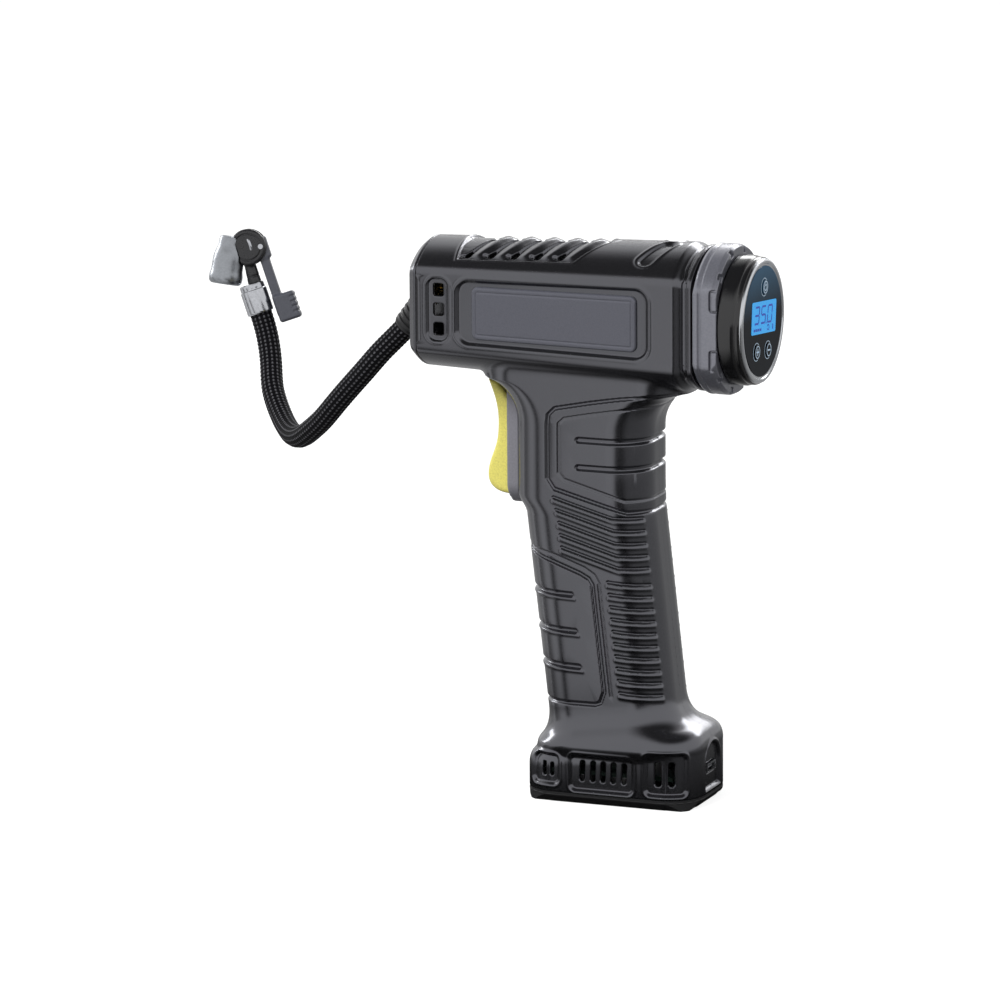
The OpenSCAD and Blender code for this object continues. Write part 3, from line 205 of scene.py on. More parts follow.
GEAR = material("gear_plastic", (0.62, 0.58, 0.47), 0.45, grain=1200)
BRASS = material("brass", (0.60, 0.43, 0.16), 0.25, 1.0)
SEAL = material("seal_rubber", (0.012, 0.012, 0.012), 0.6, grain=1600, bump=0.15)
LINE = material("line_silicone", (0.55, 0.56, 0.55), 0.4)
COLLAR = material("collar_rubber", (0.016, 0.016, 0.017), 0.55, grain=1500, bump=0.12)
CHUCK_BLACK = material("chuck_black", (0.018, 0.018, 0.020), 0.3, grain=1400, bump=0.05)
LEVER = material("lever_grey", (0.075, 0.078, 0.095), 0.38, grain=1400, bump=0.05)
CHROME = material("chrome", (0.50, 0.51, 0.54), 0.2, 1.0, bump=0.03)
BELL = material("bell_alloy", (0.33, 0.345, 0.37), 0.34, 1.0, grain=1200, bump=0.06)
BOARD = material("circuit", (0.003, 0.020, 0.011), 0.5, grain=2200, vary=0.25, bump=0.1)
BRAID = hose_material()


# ---------- small maths ----------

def step(t):
    t = np.clip(t, 0, 1)
    return t * t * (3 - 2 * t)


def smin(a, b, k):
    h = np.clip(0.5 + 0.5 * (b - a) / k, 0, 1)
    return b * (1 - h) + a * h - k * h * (1 - h)


def smax(a, b, k):
    return -smin(-a, -b, k)


def both(*shapes):
    """What lies inside all of several shapes."""
    return reduce(np.maximum, shapes)


def either(*shapes):
    """What lies inside any of several shapes."""
    return reduce(np.minimum, shapes)


def less(shape, tool):
    """A shape with a tool cut out of it."""
    return np.maximum(shape, -tool)


def rounded(px, py, w, h, r):
    """Distance to a rectangle of half sizes w and h with round corners."""
    qx, qy = np.abs(px) - (w - r), np.abs(py) - (h - r)
    return np.minimum(np.maximum(qx, qy), 0) + np.hypot(np.maximum(qx, 0), np.maximum(qy, 0)) - r


def box(px, py, pz, half, r):
    """Distance to a box with round edges."""
    q = [np.abs(p) - (h - r) for p, h in zip((px, py, pz), half)]
    outside = np.sqrt(sum(np.maximum(c, 0) ** 2 for c in q))
    return outside + np.minimum(both(*q), 0) - r


def capsule(px, py, a, b, r=0):
    """Distance to a line from a to b with a radius."""
    ax, ay, bx, by = a[0], a[1], b[0] - a[0], b[1] - a[1]
    t = np.clip(((px - ax) * bx + (py - ay) * by) / (bx * bx + by * by), 0, 1)
    return np.hypot(px - ax - t * bx, py - ay - t * by) - r


def line(u, v, *points):
    """Distance to a line through points."""
    return either(*[capsule(u, v, a, b) for a, b in zip(points, points[1:])])


def outline(u, v, points):
    """Signed distance to a closed outline."""
    near = line(u, v, *points, points[0])
    inside = np.zeros(near.shape, bool)
    for a, b in zip(points, points[1:] + points[:1]):
        if a[1] != b[1]:
            left = u < (b[0] - a[0]) * (v - a[1]) / (b[1] - a[1]) + a[0]
            inside ^= ((a[1] > v) != (b[1] > v)) & left
    return np.where(inside, -near, near)


def groove(distance, half, depth, soft):
    """How deep a groove lies at a distance from its line."""
    return depth * step((half + soft / 2 - np.abs(distance)) / soft)


def bead(distance, width):
    """A smooth bump that is 1 high where the distance is 0."""
    return np.exp(-(distance / width) ** 2)


def b_spline(points, steps):
    """The smooth curve that the CAD's hose follows."""
    p = np.vstack([2 * points[0] - points[1], points, 2 * points[-1] - points[-2]])
    out = []
    for i in range(len(p) - 3):
        for j in range(steps + (i == len(p) - 4)):
            t = j / steps
            w = [(1 - t) ** 3, 3 * t ** 3 - 6 * t ** 2 + 4, -3 * t ** 3 + 3 * t ** 2 + 3 * t + 1, t ** 3]
            out.append(sum(w[n] / 6 * p[i + n] for n in range(4)))
    return np.array(out)


def aim(origin, direction):
    """A frame at a point with its Z along a direction, as the CAD's aim() makes it."""
    d = Vector(direction).normalized()
    turn = Matrix.Rotation(math.atan2(d.y, d.x), 4, "Z") @ Matrix.Rotation(math.acos(d.z), 4, "Y")
    return Matrix.Translation(Vector(origin)) @ turn


# ---------- meshes ----------

SHARP_EDGE = math.radians(35)


def new_mesh(name, verts, faces, look, place=None, smooth=True):
    """An object from points in mm, in the frame given by place."""
    verts = np.asarray(verts, float)
    if place is not None:
        m = np.array(place)
        verts = verts @ m[:3, :3].T + m[:3, 3]
    me = bpy.data.meshes.new(name)
    me.from_pydata((verts * MM).tolist(), [], faces.tolist() if isinstance(faces, np.ndarray) else faces)
    me.update()
    me.materials.append(look)
    me.polygons.foreach_set("use_smooth", [smooth] * len(me.polygons))
    obj = bpy.data.objects.new(name, me)
    bpy.context.scene.collection.objects.link(obj)
    return obj


def lathe(name, profile, look, place, segments=96):
    """A turned piece: a closed profile of (radius, height) points round the frame's Z."""
    n = len(profile)
    angles = [2 * math.pi * i / segments for i in range(segments)]
    verts, faces, index = [], [], []
    for r, h in profile:
        if r < 1e-6:
            index.append([len(verts)] * segments)
            verts.append((0, 0, h))
        else:
            index.append(list(range(len(verts), len(verts) + segments)))
            verts += [(r * math.cos(a), r * math.sin(a), h) for a in angles]
    for i in range(n):
        a, b = index[i], index[(i + 1) % n]
        if a[0] == a[1] and b[0] == b[1]:
            continue
        for k in range(segments):
            k2 = (k + 1) % segments
            faces.append(list(dict.fromkeys((a[k], a[k2], b[k2], b[k]))))
    obj = new_mesh(name, verts, faces, look, place)
    edges = obj.modifiers.new("Edges", "EDGE_SPLIT")
    edges.split_angle = SHARP_EDGE
    return obj


CORNERS = [(a, b, c) for a in (0, 1) for b in (0, 1) for c in (0, 1)]


def surface(field, low, cell):
    """Points and quads of the surface where a sampled field is zero, by surface nets."""
    inside = field < 0
    count = np.zeros([n - 1 for n in field.shape], np.int8)

    def view(g, o):
        return g[tuple(slice(start, size - 1 + start) for start, size in zip(o, g.shape))]

    for o in CORNERS:
        count += view(inside, o)
    active = (count > 0) & (count < 8)
    number = np.full(active.shape, -1, np.int64)
    number[active] = np.arange(active.sum())
    at = np.argwhere(active)
    value = {o: view(field, o)[active] for o in CORNERS}
    total, hits = np.zeros((len(at), 3)), np.zeros(len(at))
    for a in CORNERS:
        for axis in range(3):
            if a[axis]:
                continue
            fa, fb = value[a], value[tuple(1 if n == axis else a[n] for n in range(3))]
            cross = (fa < 0) != (fb < 0)
            t = np.where(cross, fa / np.where(cross, fa - fb, 1), 0)
            for n in range(3):
                total[:, n] += np.where(cross, a[n] + (t if n == axis else 0), 0)
            hits += cross
    points = np.asarray(low) + cell * (at + total / hits[:, None])
    quads = []
    for axis in range(3):
        o1, o2 = [n for n in range(3) if n != axis]
        near = [slice(1, -1)] * 3
        near[axis] = slice(0, -1)
        far = list(near)
        far[axis] = slice(1, None)
        place = np.argwhere(inside[tuple(near)] != inside[tuple(far)])
        place += [0 if n == axis else 1 for n in range(3)]
        flip = inside[tuple(place.T)]
        ring = []
        for d1, d2 in ((0, 0), (1, 0), (1, 1), (0, 1)):
            c = place.copy()
            c[:, o1] -= 1 - d1
            c[:, o2] -= 1 - d2
            ring.append(number[tuple(c.T)])
        q = np.stack(ring, 1)
        if axis == 1:
            flip = ~flip
        q[~flip] = q[~flip][:, ::-1]
        quads.append(q)
    return points, np.vstack(quads)


def sample(field, low, cell, p):
    """The field's value at points, between its samples."""
    g = np.clip((p - low) / cell, 0, np.array(field.shape) - 1.001)
    i = g.astype(int)
    f = g - i
    out = 0
    for o in CORNERS:
        u, v, w = (f[:, n] if o[n] else 1 - f[:, n] for n in range(3))
        out = out + u * v * w * field[tuple((i + o).T)]
    return out


def slope(field, low, cell, p):
    """The direction, of length 1, in which the field rises fastest at points."""
    e = np.eye(3) * cell * 0.6
    g = np.stack([sample(field, low, cell, p + d) - sample(field, low, cell, p - d) for d in e], 1)
    return g / np.maximum(np.linalg.norm(g, axis=1, keepdims=True), 1e-9)


def carve(name, shape, low, high, cell, look, place=None, most=60000, flip=False, cut=None):
    """A piece: the surface where shape(x, y, z) is 0 in a box, thinned to at most so many triangles.

    With cut, only what lies below that Y is kept, and the cut's rim is sharp. With flip, Y is mirrored.
    """
    low, high = np.array(low, float), np.array(high, float)
    n = np.ceil((high - low) / cell).astype(int) + 1
    axes = [low[k] + cell * np.arange(n[k]) for k in range(3)]
    grid = [axes[0][:, None, None], axes[1][None, :, None], axes[2][None, None, :]]
    field = np.ascontiguousarray(np.broadcast_to(shape(*grid), n), np.float32)
    whole = field
    if cut is not None:
        field = np.maximum(field, (grid[1] - cut).astype(np.float32))
    points, quads = surface(field, low, cell)
    obj = new_mesh(name, points, quads, look)
    if 2 * len(quads) > most:
        thin = obj.modifiers.new("Thin", "DECIMATE")
        thin.ratio = most / (2 * len(quads))
        graph = bpy.context.evaluated_depsgraph_get()
        slim = bpy.data.meshes.new_from_object(obj.evaluated_get(graph))
        obj.modifiers.clear()
        full, obj.data = obj.data, slim
        bpy.data.meshes.remove(full)
        slim.name = name
    me = obj.data
    co = np.zeros(len(me.vertices) * 3, np.float32)
    me.vertices.foreach_get("co", co)
    p = co.reshape(-1, 3).astype(float) / MM
    for _ in range(2):
        error = np.clip(sample(field, low, cell, p), -cell / 2, cell / 2)
        p = p - error[:, None] * slope(field, low, cell, p) * 0.8
    normals = slope(field, low, cell, p)
    if cut is not None:
        skin = sample(whole, low, cell, p) > -0.4 * cell
        p[skin & (p[:, 1] > cut - 0.7 * cell), 1] = cut
        normals = np.where(skin[:, None], slope(whole, low, cell, p), normals)
    if flip:
        p, normals = p * (1, -1, 1), normals * (1, -1, 1)
        me.flip_normals()
    if place is not None:
        m = np.array(place)
        p, normals = p @ m[:3, :3].T + m[:3, 3], normals @ m[:3, :3].T
    me.vertices.foreach_set("co", (p * MM).astype(np.float32).ravel())
    me.update()
    me.normals_split_custom_set_from_vertices(normals.tolist())
    return obj


def fit(obj, slot, *nodes, body="housing"):
    """Puts a piece on its body, in place of CAD nodes. The slot is not used."""
    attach(obj, body)
    if nodes:
        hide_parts(*nodes)
    return obj


# ---------- camera ----------

def camera():
    turn, height, roll = (math.radians(a) for a in (21.8, 12.04, -0.38))
    flat = math.cos(height)
    back = Vector((math.sin(turn) * flat, -math.cos(turn) * flat, math.sin(height)))
    level = Vector((math.cos(turn), math.sin(turn), 0))
    right = math.cos(roll) * level + math.sin(roll) * back.cross(level)
    up = back.cross(right)
    target, distance = Vector((-39, -0.14, 110.5)) * MM, 3.0
    data = bpy.data.cameras.new("Camera")
    data.sensor_width, data.lens = 36, 284
    data.clip_start, data.clip_end = 0.05, 20
    cam = bpy.data.objects.new("Camera", data)
    bpy.context.scene.collection.objects.link(cam)
    place = target + back * distance
    rows = [(right[n], up[n], back[n], place[n]) for n in range(3)]
    cam.matrix_world = Matrix([*rows, (0, 0, 0, 1)])
    bpy.context.scene.camera = cam


camera()


# ---------- hose ----------

HOSE_PATH = b_spline(ROUTE, 24)
HOSE_LENGTH = float(np.linalg.norm(np.diff(HOSE_PATH, axis=0), axis=1).sum())


def hose():
    """The braided hose: rows of slanted stitches in relief on a tube."""
    around, rows = 112, 14
    ring_pitch, stitch_pitch, sunk, relief = 0.3, 1.7, 0.38, 0.4
    run = np.concatenate([[0], np.cumsum(np.linalg.norm(np.diff(HOSE_PATH, axis=0), axis=1))])
    rings = int(HOSE_LENGTH / ring_pitch)
    at = np.linspace(0, HOSE_LENGTH, rings)
    path = np.stack([np.interp(at, run, HOSE_PATH[:, n]) for n in range(3)], 1)
    heading = np.gradient(path, axis=0)
    heading /= np.linalg.norm(heading, axis=1, keepdims=True)
    side, sides = np.array([0, 1.0, 0]), []
    for t in heading:
        side = side - (side @ t) * t
        side = side / np.linalg.norm(side)
        sides.append(side)
    sides = np.array(sides)
    others = np.cross(heading, sides)
    angle = 2 * np.pi * np.arange(around) / around
    middle = np.abs((angle[None, :] * rows / (2 * np.pi)) % 1 - 0.5) * 2
    phase = (at[:, None] / stitch_pitch + 0.5 * middle) % 1
    bump = np.sin(np.pi * phase) ** 0.8 * (1 - 0.75 * middle ** 3)
    radius = HOSE_RADIUS - sunk + relief * bump
    c, s = np.cos(angle)[None, :, None], np.sin(angle)[None, :, None]
    p = path[:, None, :] + radius[..., None] * (c * sides[:, None, :] + s * others[:, None, :])
    i, k = np.meshgrid(np.arange(rings - 1), np.arange(around), indexing="ij")
    n = (k + 1) % around
    a, b = i * around, (i + 1) * around
    quads = np.stack([a + k, a + n, b + n, b + k], -1).reshape(-1, 4)
    ends = np.arange(rings * around).reshape(rings, around)[[0, -1]].tolist()
    faces = quads.tolist() + [ends[0][::-1], ends[1]]
    obj = new_mesh("hose_braid", p.reshape(-1, 3), faces, BRAID)
    # painted highlight: where the stitches rise highest, in the middle of each row
    fleck = step((bump - 0.5) / 0.35) * step((0.5 - middle) / 0.25)
    values = obj.data.attributes.new("fleck", "FLOAT", "POINT").data
    values.foreach_set("value", fleck.astype(np.float32).ravel())
    return obj


braid = fit(hose(), "braid", "hose")


# ---------- housing ----------

def way(x):
    """0 at the shell's front and 1 at its back."""
    return (x - SHELL_FRONT) / (SHELL_BACK - SHELL_FRONT)


def half_width(x):
    return 22 + 2 * way(x)


def crown(x):
    """How far the roof's centre of curvature lies above the barrel's middle."""
    half_height = 24.75 + 3.75 * way(x)
    return half_height - ROOF_RADIUS


def barrel(x, y, z):
    rel = z - BARREL_Z
    arcs = np.maximum(np.hypot(y, rel - crown(x)), np.hypot(y, rel + crown(x))) - ROOF_RADIUS
    return smax(np.abs(y) - half_width(x), arcs, 1.6)


def roof_arc(x, y, z):
    """How far a place lies round the roof from the ridge."""
    return ROOF_RADIUS * np.arctan2(np.abs(y), np.maximum(z - BARREL_Z - crown(x), 1))


def sweep(z, start, radius, least):
    """How far the grip's edge swings out above a height, along an arc."""
    return radius - np.sqrt(np.maximum(radius ** 2 - np.maximum(z - start, 0) ** 2, least ** 2))


def grip_front(z):
    edge = np.where(z < 110, -25.4 + (110 - z) * 0.114, -25.4 - 3.6 * step((z - 109) / 8))
    return edge - sweep(z, 144, 17, 4)


def grip_back(z):
    edge = np.where(z < 113, 26 + (113 - z) * 0.1108, 26 - 0.2 * step((z - 113) / 10))
    return edge + sweep(z, 143, 15, 2)


def grip(x, y, z):
    front, back = grip_front(z), grip_back(z)
    return rounded(x - (front + back) / 2, y, (back - front) / 2, GRIP_HALF, GRIP_CORNER)


def base_plan(x, y, inset=0):
    """Distance to the base's outline from above, or to one that lies inside it."""
    return rounded(x - BASE_X, y, BASE_HALF[0] - inset, BASE_HALF[1] - inset, BASE_CORNER - inset)


def base(x, y, z):
    front = BASE_X - BASE_HALF[0]
    top = 19.8 + 0.136 * (x - front)
    return smax(base_plan(x, y), z - top, 7.5)


def body(x, y, z):
    """The housing's outside, before its marks and openings."""
    upper = smin(barrel(x, y, z), np.maximum(grip(x, y, z), z - 176), 3)
    neck = 1 + 13 * step((z - 15) / 8)
    return smin(upper, base(x, y, z), neck)


def round_corner(across, y, flat, half, corner):
    """How far a place lies from a side's middle, along its flat stretch and on round its corner."""
    turn = np.arctan2(across - flat, np.maximum(np.abs(y) - (half - corner), 0.01))
    return np.where(across < flat, across, flat + corner * turn)


def around_grip(x, y, z):
    """How far a place lies round the grip: 0 is the side's middle, positive is towards the back."""
    across, flat = x - (grip_front(z) + grip_back(z)) / 2, 10.8
    out = round_corner(np.abs(across), y, flat, GRIP_HALF, GRIP_CORNER)
    return np.sign(across) * out


def around_base(x, y):
    """How far a place lies round the base from its side's middle."""
    return round_corner(np.abs(x - BASE_X), y, BASE_HALF[0] - BASE_CORNER, BASE_HALF[1], BASE_CORNER)


LOUVRES = [-46 + 9.35 * i for i in range(5)]
FAR = 99  # farther than any place here lies from a slot


def barrel_marks(x, y, z):
    """Depth of the step at the back, the side's recess, the slot at the nose and the roof's marks."""
    rel, flat = z - BARREL_Z, np.abs(y) > 17
    depth = 1.6 * step((x - 39.5) / 3.5) + 0.7 * step((x - 42.8) / 0.4) - 1.3 * step((x - 44.8) / 0.4)
    recess = rounded(x + 8.9, rel - 0.1, 38.4, 12.5 + 0.0165 * (x + 8.9), 5)
    slot = rounded(x + 55.1, rel - 0.5, 4.2, 12, 3.4)
    depth = depth + flat * (1.25 * step((0.7 - recess) / 1.4) - 0.3 * bead(recess - 1.3, 0.6)
                            + 0.8 * step((0.2 - slot) / 0.5) - 0.3 * bead(slot - 0.9, 0.5))
    s, edge = roof_arc(x, y, z), 19
    panel = both(-50 + 1.6 * (s / edge) ** 2 - x, x + 2 - (edge - s) * 0.6, s - edge)
    roof = step((0.35 - panel) / 0.7) - 0.2 * bead(panel - 0.8, 0.5)
    inside = step(0.2 - panel)
    for b in LOUVRES:
        hook = line(x, s, (b - 1.6, 16), (b + 1, 16.6), (b + 2.2, 13), (b + 3.6, 8), (b + 5.2, 3),
                    (b + 7.5, 0), (b + 7.5, -4))
        swell = line(x, s, (b + 5.4, 16), (b + 7.6, 11), (b + 9.2, 5), (b + 11.4, 0), (b + 11.4, -4))
        roof = roof + inside * (groove(hook, 0.75, 0.9, 0.6) - 1.05 * bead(swell, 2.3))
    scoop = capsule(x, s, (26.5, 17), (31.5, 4), 2.9)
    roof = roof + 1.1 * step((0.4 - scoop) / 1.4) - 0.25 * bead(scoop - 1, 0.6)
    return depth + (rel > 0) * roof


def grip_marks(x, y, z):
    """Depth of the grip's panels, ribs and finger grooves."""
    u = around_grip(x, y, z)
    wide, thin, far = (0.65, 0.85, 0.55), (0.5, 0.4, 0.6), 40
    upper = line(u, z, (far, 159), (24, 158), (5.6, 154.5), (-8, 151.6), (-10.4, 149), (-10.6, 146),
                 (-10.6, 124.5), (-8, 120.7), (13.6, 114.9), (20, 112.9), (far, 112.7))
    inner = line(u, z, (far, 154), (24, 153.4), (5.4, 150), (-4, 148), (-6.1, 146), (-6.1, 127), (-4, 124.6),
                 (14, 119.6), (20, 117.6), (far, 117.4))
    depth = groove(upper, *wide) + groove(inner, *thin)
    for row in (140, 129.5):
        depth = depth + groove(capsule(u, z, (1.8, row), (far, row)), 1.0, 1.2, 0.7)
    ribs = [((-8.4, row), (13.6, row - 6.5), (25.5, row - 6.9)) for row in (117.5, 112.7, 107.9, 103.2, 98.4)]
    ribs += [((8.8, 86.3 - 4.72 * i), (25.5, 85.1 - 4.72 * i)) for i in range(10)]
    for rib in ribs:
        crest = line(u, z, *[(p[0], p[1] - 1.7) for p in rib])
        depth = depth + groove(line(u, z, *rib), 0.45, 0.55, 0.5) - 0.5 * bead(crest, 0.8)
    lower = line(u, z, (-far, 97.3), (-30, 97), (-12.7, 92.8), (-2, 88.8), (1.2, 87), (2.4, 84.8),
                 (2.4, 43.5), (0.4, 39.2), (-2, 38.4), (-far, 38.2))
    outer = line(u, z, (-far, 100), (-12.4, 95.6), (0, 91), (3.6, 88.6), (5, 85.6), (5, 42))
    depth = depth + groove(lower, *wide) + groove(outer, *thin)
    for row in (80.4, 66.4, 52.6):
        crest = capsule(u, z, (-far, row - 0.8), (-5.4, row - 1.8))
        depth = depth + groove(capsule(u, z, (-far, row + 1), (-6.7, row)), 0.8, 1.1, 0.7)
        depth = depth - 0.35 * bead(crest, 0.6)
    return depth * step(np.minimum(z - 35, 161 - z) / 2.5) * (barrel(x, y, z) > 1)


def base_marks(x, y, z):
    """Depth of the window frames in the base's sides and corners, and of the arch round the charging port."""
    s, rear, side = around_base(x, y), x > BASE_X, np.abs(y) > 13
    corner, spring_line = 2.2, 15.5
    tall = np.where(z > spring_line, np.hypot(y, z - spring_line), np.abs(y)) - 7.5
    frames = ((rounded(x - 10.5, z - 12.5, 12.6, 6.9, corner), side),
              (rounded(s - 24.5, z - 14, 8.2, 8, corner), side & rear),
              (rounded(s - 25, z - 12.8, 6.1, 5.5, corner), side & ~rear),
              (np.maximum(tall, 6 - z), x > 40))
    return sum(where * (1.05 * step(0.4 - d) - 0.35 * bead(d - 1.0, 0.5)) for d, where in frames)


def openings(x, y, z):
    """Distance to the housing's holes and slots, its port and the seats of the trigger and its frame."""
    side, rel = np.abs(y), z - BARREL_Z
    s, b = roof_arc(x, y, z), around_base(x, y)
    out = np.maximum(rounded(y, z - 13.6, 4.75, 2, 1.2), 36 - x)
    out = np.minimum(out, box(x + 39, y, z - 134.85, (12.6, 9, 24.4), 0.3))
    out = np.minimum(out, box(x + 26, y, z - 136.2, (6.2, 5.8, 22.4), 0.3))
    for row in (-7, 0.5, 8):
        out = np.minimum(out, np.maximum(rounded(x + 55, rel - row, 2.1, 2.45, 0.8), 18 - side))
    for at in LOUVRES:
        out = np.minimum(out, np.maximum(capsule(x, s, (at - 0.2, 16.1), (at + 1.6, 13.4), 0.75), 10 - rel))
    for at in (2.6, 6.9, 11, 15.2, 19.5):
        out = np.minimum(out, np.maximum(capsule(x, z, (at - 0.25, 10), (at, 16.2), 0.95), 15 - side))
    for at, half, middle, tall, rear in ((21.1, 1.4, 14.2, 4.7, True), (26.8, 1.4, 14.2, 4.7, True),
                                         (25.6, 0.95, 12.8, 2.7, False), (21.9, 0.8, 12.8, 2.5, False)):
        slot = np.maximum(rounded(b - at, z - middle, half, tall, half * 0.8), 13 - side)
        out = np.minimum(out, slot + FAR * ((x > BASE_X) != rear))
    return out


def shell(x, y, z, screws):
    """Half of the hollow housing, with or without the sinks for the screws' heads."""
    solid = body(x, y, z)
    marked = both(solid, SHELL_FRONT - x, x - SHELL_BACK, FOOT - z).astype(np.float32)
    heights = z.ravel()
    for low, high, marks in ((158, 220, barrel_marks), (33, 162, grip_marks), (0, 28, base_marks)):
        i, j = np.searchsorted(heights, (low, high))
        marked[:, :, i:j] += marks(x, y, z[:, :, i:j]).astype(np.float32)
    out = less(marked, solid + WALL + 2 * step((x - 38) / 3))
    screw = either(*[np.hypot(x - across, z - up) for across, up in SHELL_SCREWS])
    boss_radius, head_radius = 3.6, 2.8
    out = np.minimum(out, np.maximum(screw - boss_radius, solid + 1.5))
    if screws:
        out = less(out, np.maximum(screw - head_radius, 14 + y))
    return less(out, openings(x, y, z))


SHELL_BOX = ((-65.2, -25.2, 3.2), (49.2, 0.9, 216.4))
for half, screws in (("left_shell", False), ("right_shell", True)):
    skin = carve(half + "_skin", lambda x, y, z: shell(x, y, z, screws), *SHELL_BOX, 0.4,
                 PLASTIC, most=190000, flip=screws, cut=-0.03)
    fit(skin, "housing", half)


# ---------- nose ----------

def nose_cap(x, y, z):
    """The barrel's front end, with its rim, its four slots and the boss that the hose comes out of."""
    section = barrel(x, y, z)
    chamfer = section + np.maximum((-64.9 - x) * 0.85, 0)
    out = smax(chamfer, NOSE - x, 0.5)
    rim = smax(section + 4.2, x + 66.6, 0.4)
    out = np.maximum(smax(out, -rim, 0.3), x + 64.02)
    way_out = ROUTE[1] - ROUTE[0]
    way_out = way_out / np.linalg.norm(way_out)
    p = [c - s for c, s in zip((x, y, z), ROUTE[0])]
    along = sum(c * w for c, w in zip(p, way_out))
    off = np.sqrt(np.maximum(sum(c * c for c in p) - along ** 2, 0))
    out = np.minimum(out, both(off - 7.0, along + 0.05, -7 - along, x + 64.5, -68.45 - x))
    out = less(out, np.maximum(off - 3.05, np.abs(along) - 20))
    for at in (-12, -4, 4, 12):
        out = less(out, np.maximum(rounded(y - at, z - 201.5, 2.6, 1.1, 0.9), x + 65.4))
    spigot = both(section + 2.7, -(section + 4.6), -64.5 - x, x + 61)
    return np.minimum(out, spigot)


fit(carve("nose_cap", nose_cap, (-68.9, -23.5, 160), (-60.2, 23.5, 213), 0.3, PLASTIC, most=50000),
    "housing", "front_cap")

exit_frame = aim(ROUTE[0], ROUTE[1] - ROUTE[0])
BOOT_LENGTH = 13
boot = [(HOSE_BORE, 0), (6.6, 0), (6.65, 1.6)]
for i in range(1, 5):
    h, r = BOOT_LENGTH * i / 5, HOSE_RADIUS + 2.1 - 0.25 * i
    boot += [(r - 0.55, h - 0.5), (r, h - 0.2), (r + 0.05, h + 0.8), (r - 0.6, h + 1.15)]
boot += [(5.3, 12.4), (5.0, BOOT_LENGTH), (HOSE_BORE, BOOT_LENGTH)]
fit(lathe("hose_boot", boot, COLLAR, exit_frame), "collar_rubber", "hose_collar")


# ---------- collar and display ----------

def collar(x, y, z):
    """The grey ring behind the shell, flat at its sides, with a groove, two frames and ticks in its rim."""
    rel, side = z - BARREL_Z, np.abs(y)
    r, (front, back) = np.hypot(y, rel), COLLAR_SPAN
    out = smax(r - 28.4 + np.maximum((x - 55.8) * 0.5, 0) + np.maximum((49 - x) * 0.6, 0), side - 24.4, 0.6)
    out = both(out, front - x, x - back)
    out = out + 0.5 * bead(x - 50.6, 0.45)
    for at in (-12, 10.8):
        frame_line = np.abs(rounded(x - back, rel - at, 2.6, 3.9, 0.9)) - 0.38
        out = less(out, np.maximum(frame_line, 23.2 - side))
    for turn in range(15, 360, 30):
        c, s = math.cos(math.radians(turn)), math.sin(math.radians(turn))
        tick = np.maximum(box(x - back, y * s - rel * c, 0, (1.1, 1.4, 1), 0.3), 25.4 - (y * c + rel * s))
        out = less(out, tick) if abs(c) < 0.8 else out
    return np.maximum(out, 23.65 - r)


fit(carve("collar_ring", collar, (46.8, -25.2, 157), (58.4, 25.2, 216), 0.33, COLLAR_PLASTIC, most=60000),
    "housing", "rear_collar")

HEAD_SIDE = [(6, 51.5), (23.4, 51.5), (23.4, 57.55), (24.1, 57.75), (24.5, 58.2), (24.5, 62.6), (24.3, 63.4),
             (23.9, 64.0), (24.05, 64.4), (24.05, 65.4), (23.85, 66.0), (23.55, 66.25), (23.55, 64.78),
             (19.9, 64.78), (19.7, 53.5), (6, 53.5)]
RING_SIDE = [(20.86, 65.6), (20.2, 65.6), (20.2, 64.8), (23.5, 64.8), (23.5, 66.5), (23.3, 67.0),
             (22.85, 67.38), (22.3, 67.5), (21.8, 67.38), (21.55, 67.05), (21.2, 66.95), (20.86, 67.0)]
barrel_axis = aim((0, 0, BARREL_Z), (1, 0, 0))
fit(lathe("display_head", HEAD_SIDE, HEAD_BLACK, barrel_axis, 160), "display_black", "display_housing")
fit(lathe("silver_ring", RING_SIDE, RING, barrel_axis, 160), "bright_ring", "bezel_ring")

# A place on the face is (u, v): to the right and up, seen from behind, before the display is turned
FACE_TURN = math.radians(-6)
FACE, DIGITS, KEY_FACE = 67.22, 67.31, 67.77


def on_face(u, v):
    """The Y and Z of a place on the face."""
    c, s = math.cos(FACE_TURN), math.sin(FACE_TURN)
    return u * c - v * s, BARREL_Z + u * s + v * c


def plate(name, points, thick, look, x0):
    """A thin plate on the display's face, from an outline of places on it."""
    pts = [on_face(u, v) for u, v in points]
    n = len(pts)
    verts = [(x, y, z) for x in (x0, x0 + thick) for y, z in pts]
    faces = [list(range(n))[::-1], list(range(n, 2 * n))]
    faces += [[i, (i + 1) % n, n + (i + 1) % n, n + i] for i in range(n)]
    return new_mesh(name, verts, faces, look, smooth=False)


def join(name, parts):
    """One object made of several."""
    verts, faces = [], []
    for o in parts:
        at = len(verts)
        verts += [tuple(v.co) for v in o.data.vertices]
        faces += [[at + i for i in f.vertices] for f in o.data.polygons]
    look = parts[0].data.materials[0]
    for o in parts:
        me = o.data
        bpy.data.objects.remove(o)
        bpy.data.meshes.remove(me)
    me = bpy.data.meshes.new(name)
    me.from_pydata(verts, [], faces)
    me.materials.append(look)
    obj = bpy.data.objects.new(name, me)
    bpy.context.scene.collection.objects.link(obj)
    return obj


def arc(u, v, r, a0, a1, n):
    """Places along an arc, from one angle to another."""
    angles = [math.radians(a0 + (a1 - a0) * i / n) for i in range(n + 1)]
    return [(u + r * math.cos(a), v + r * math.sin(a)) for a in angles]


def round_box(w, h, r, u, v):
    """The outline of a rectangle of half sizes w and h with round corners."""
    out = []
    for cx, cy, a0 in ((w - r, h - r, 0), (r - w, h - r, 90), (r - w, r - h, 180), (w - r, r - h, 270)):
        out += arc(u + cx, v + cy, r, a0, a0 + 90, 6)
    return out


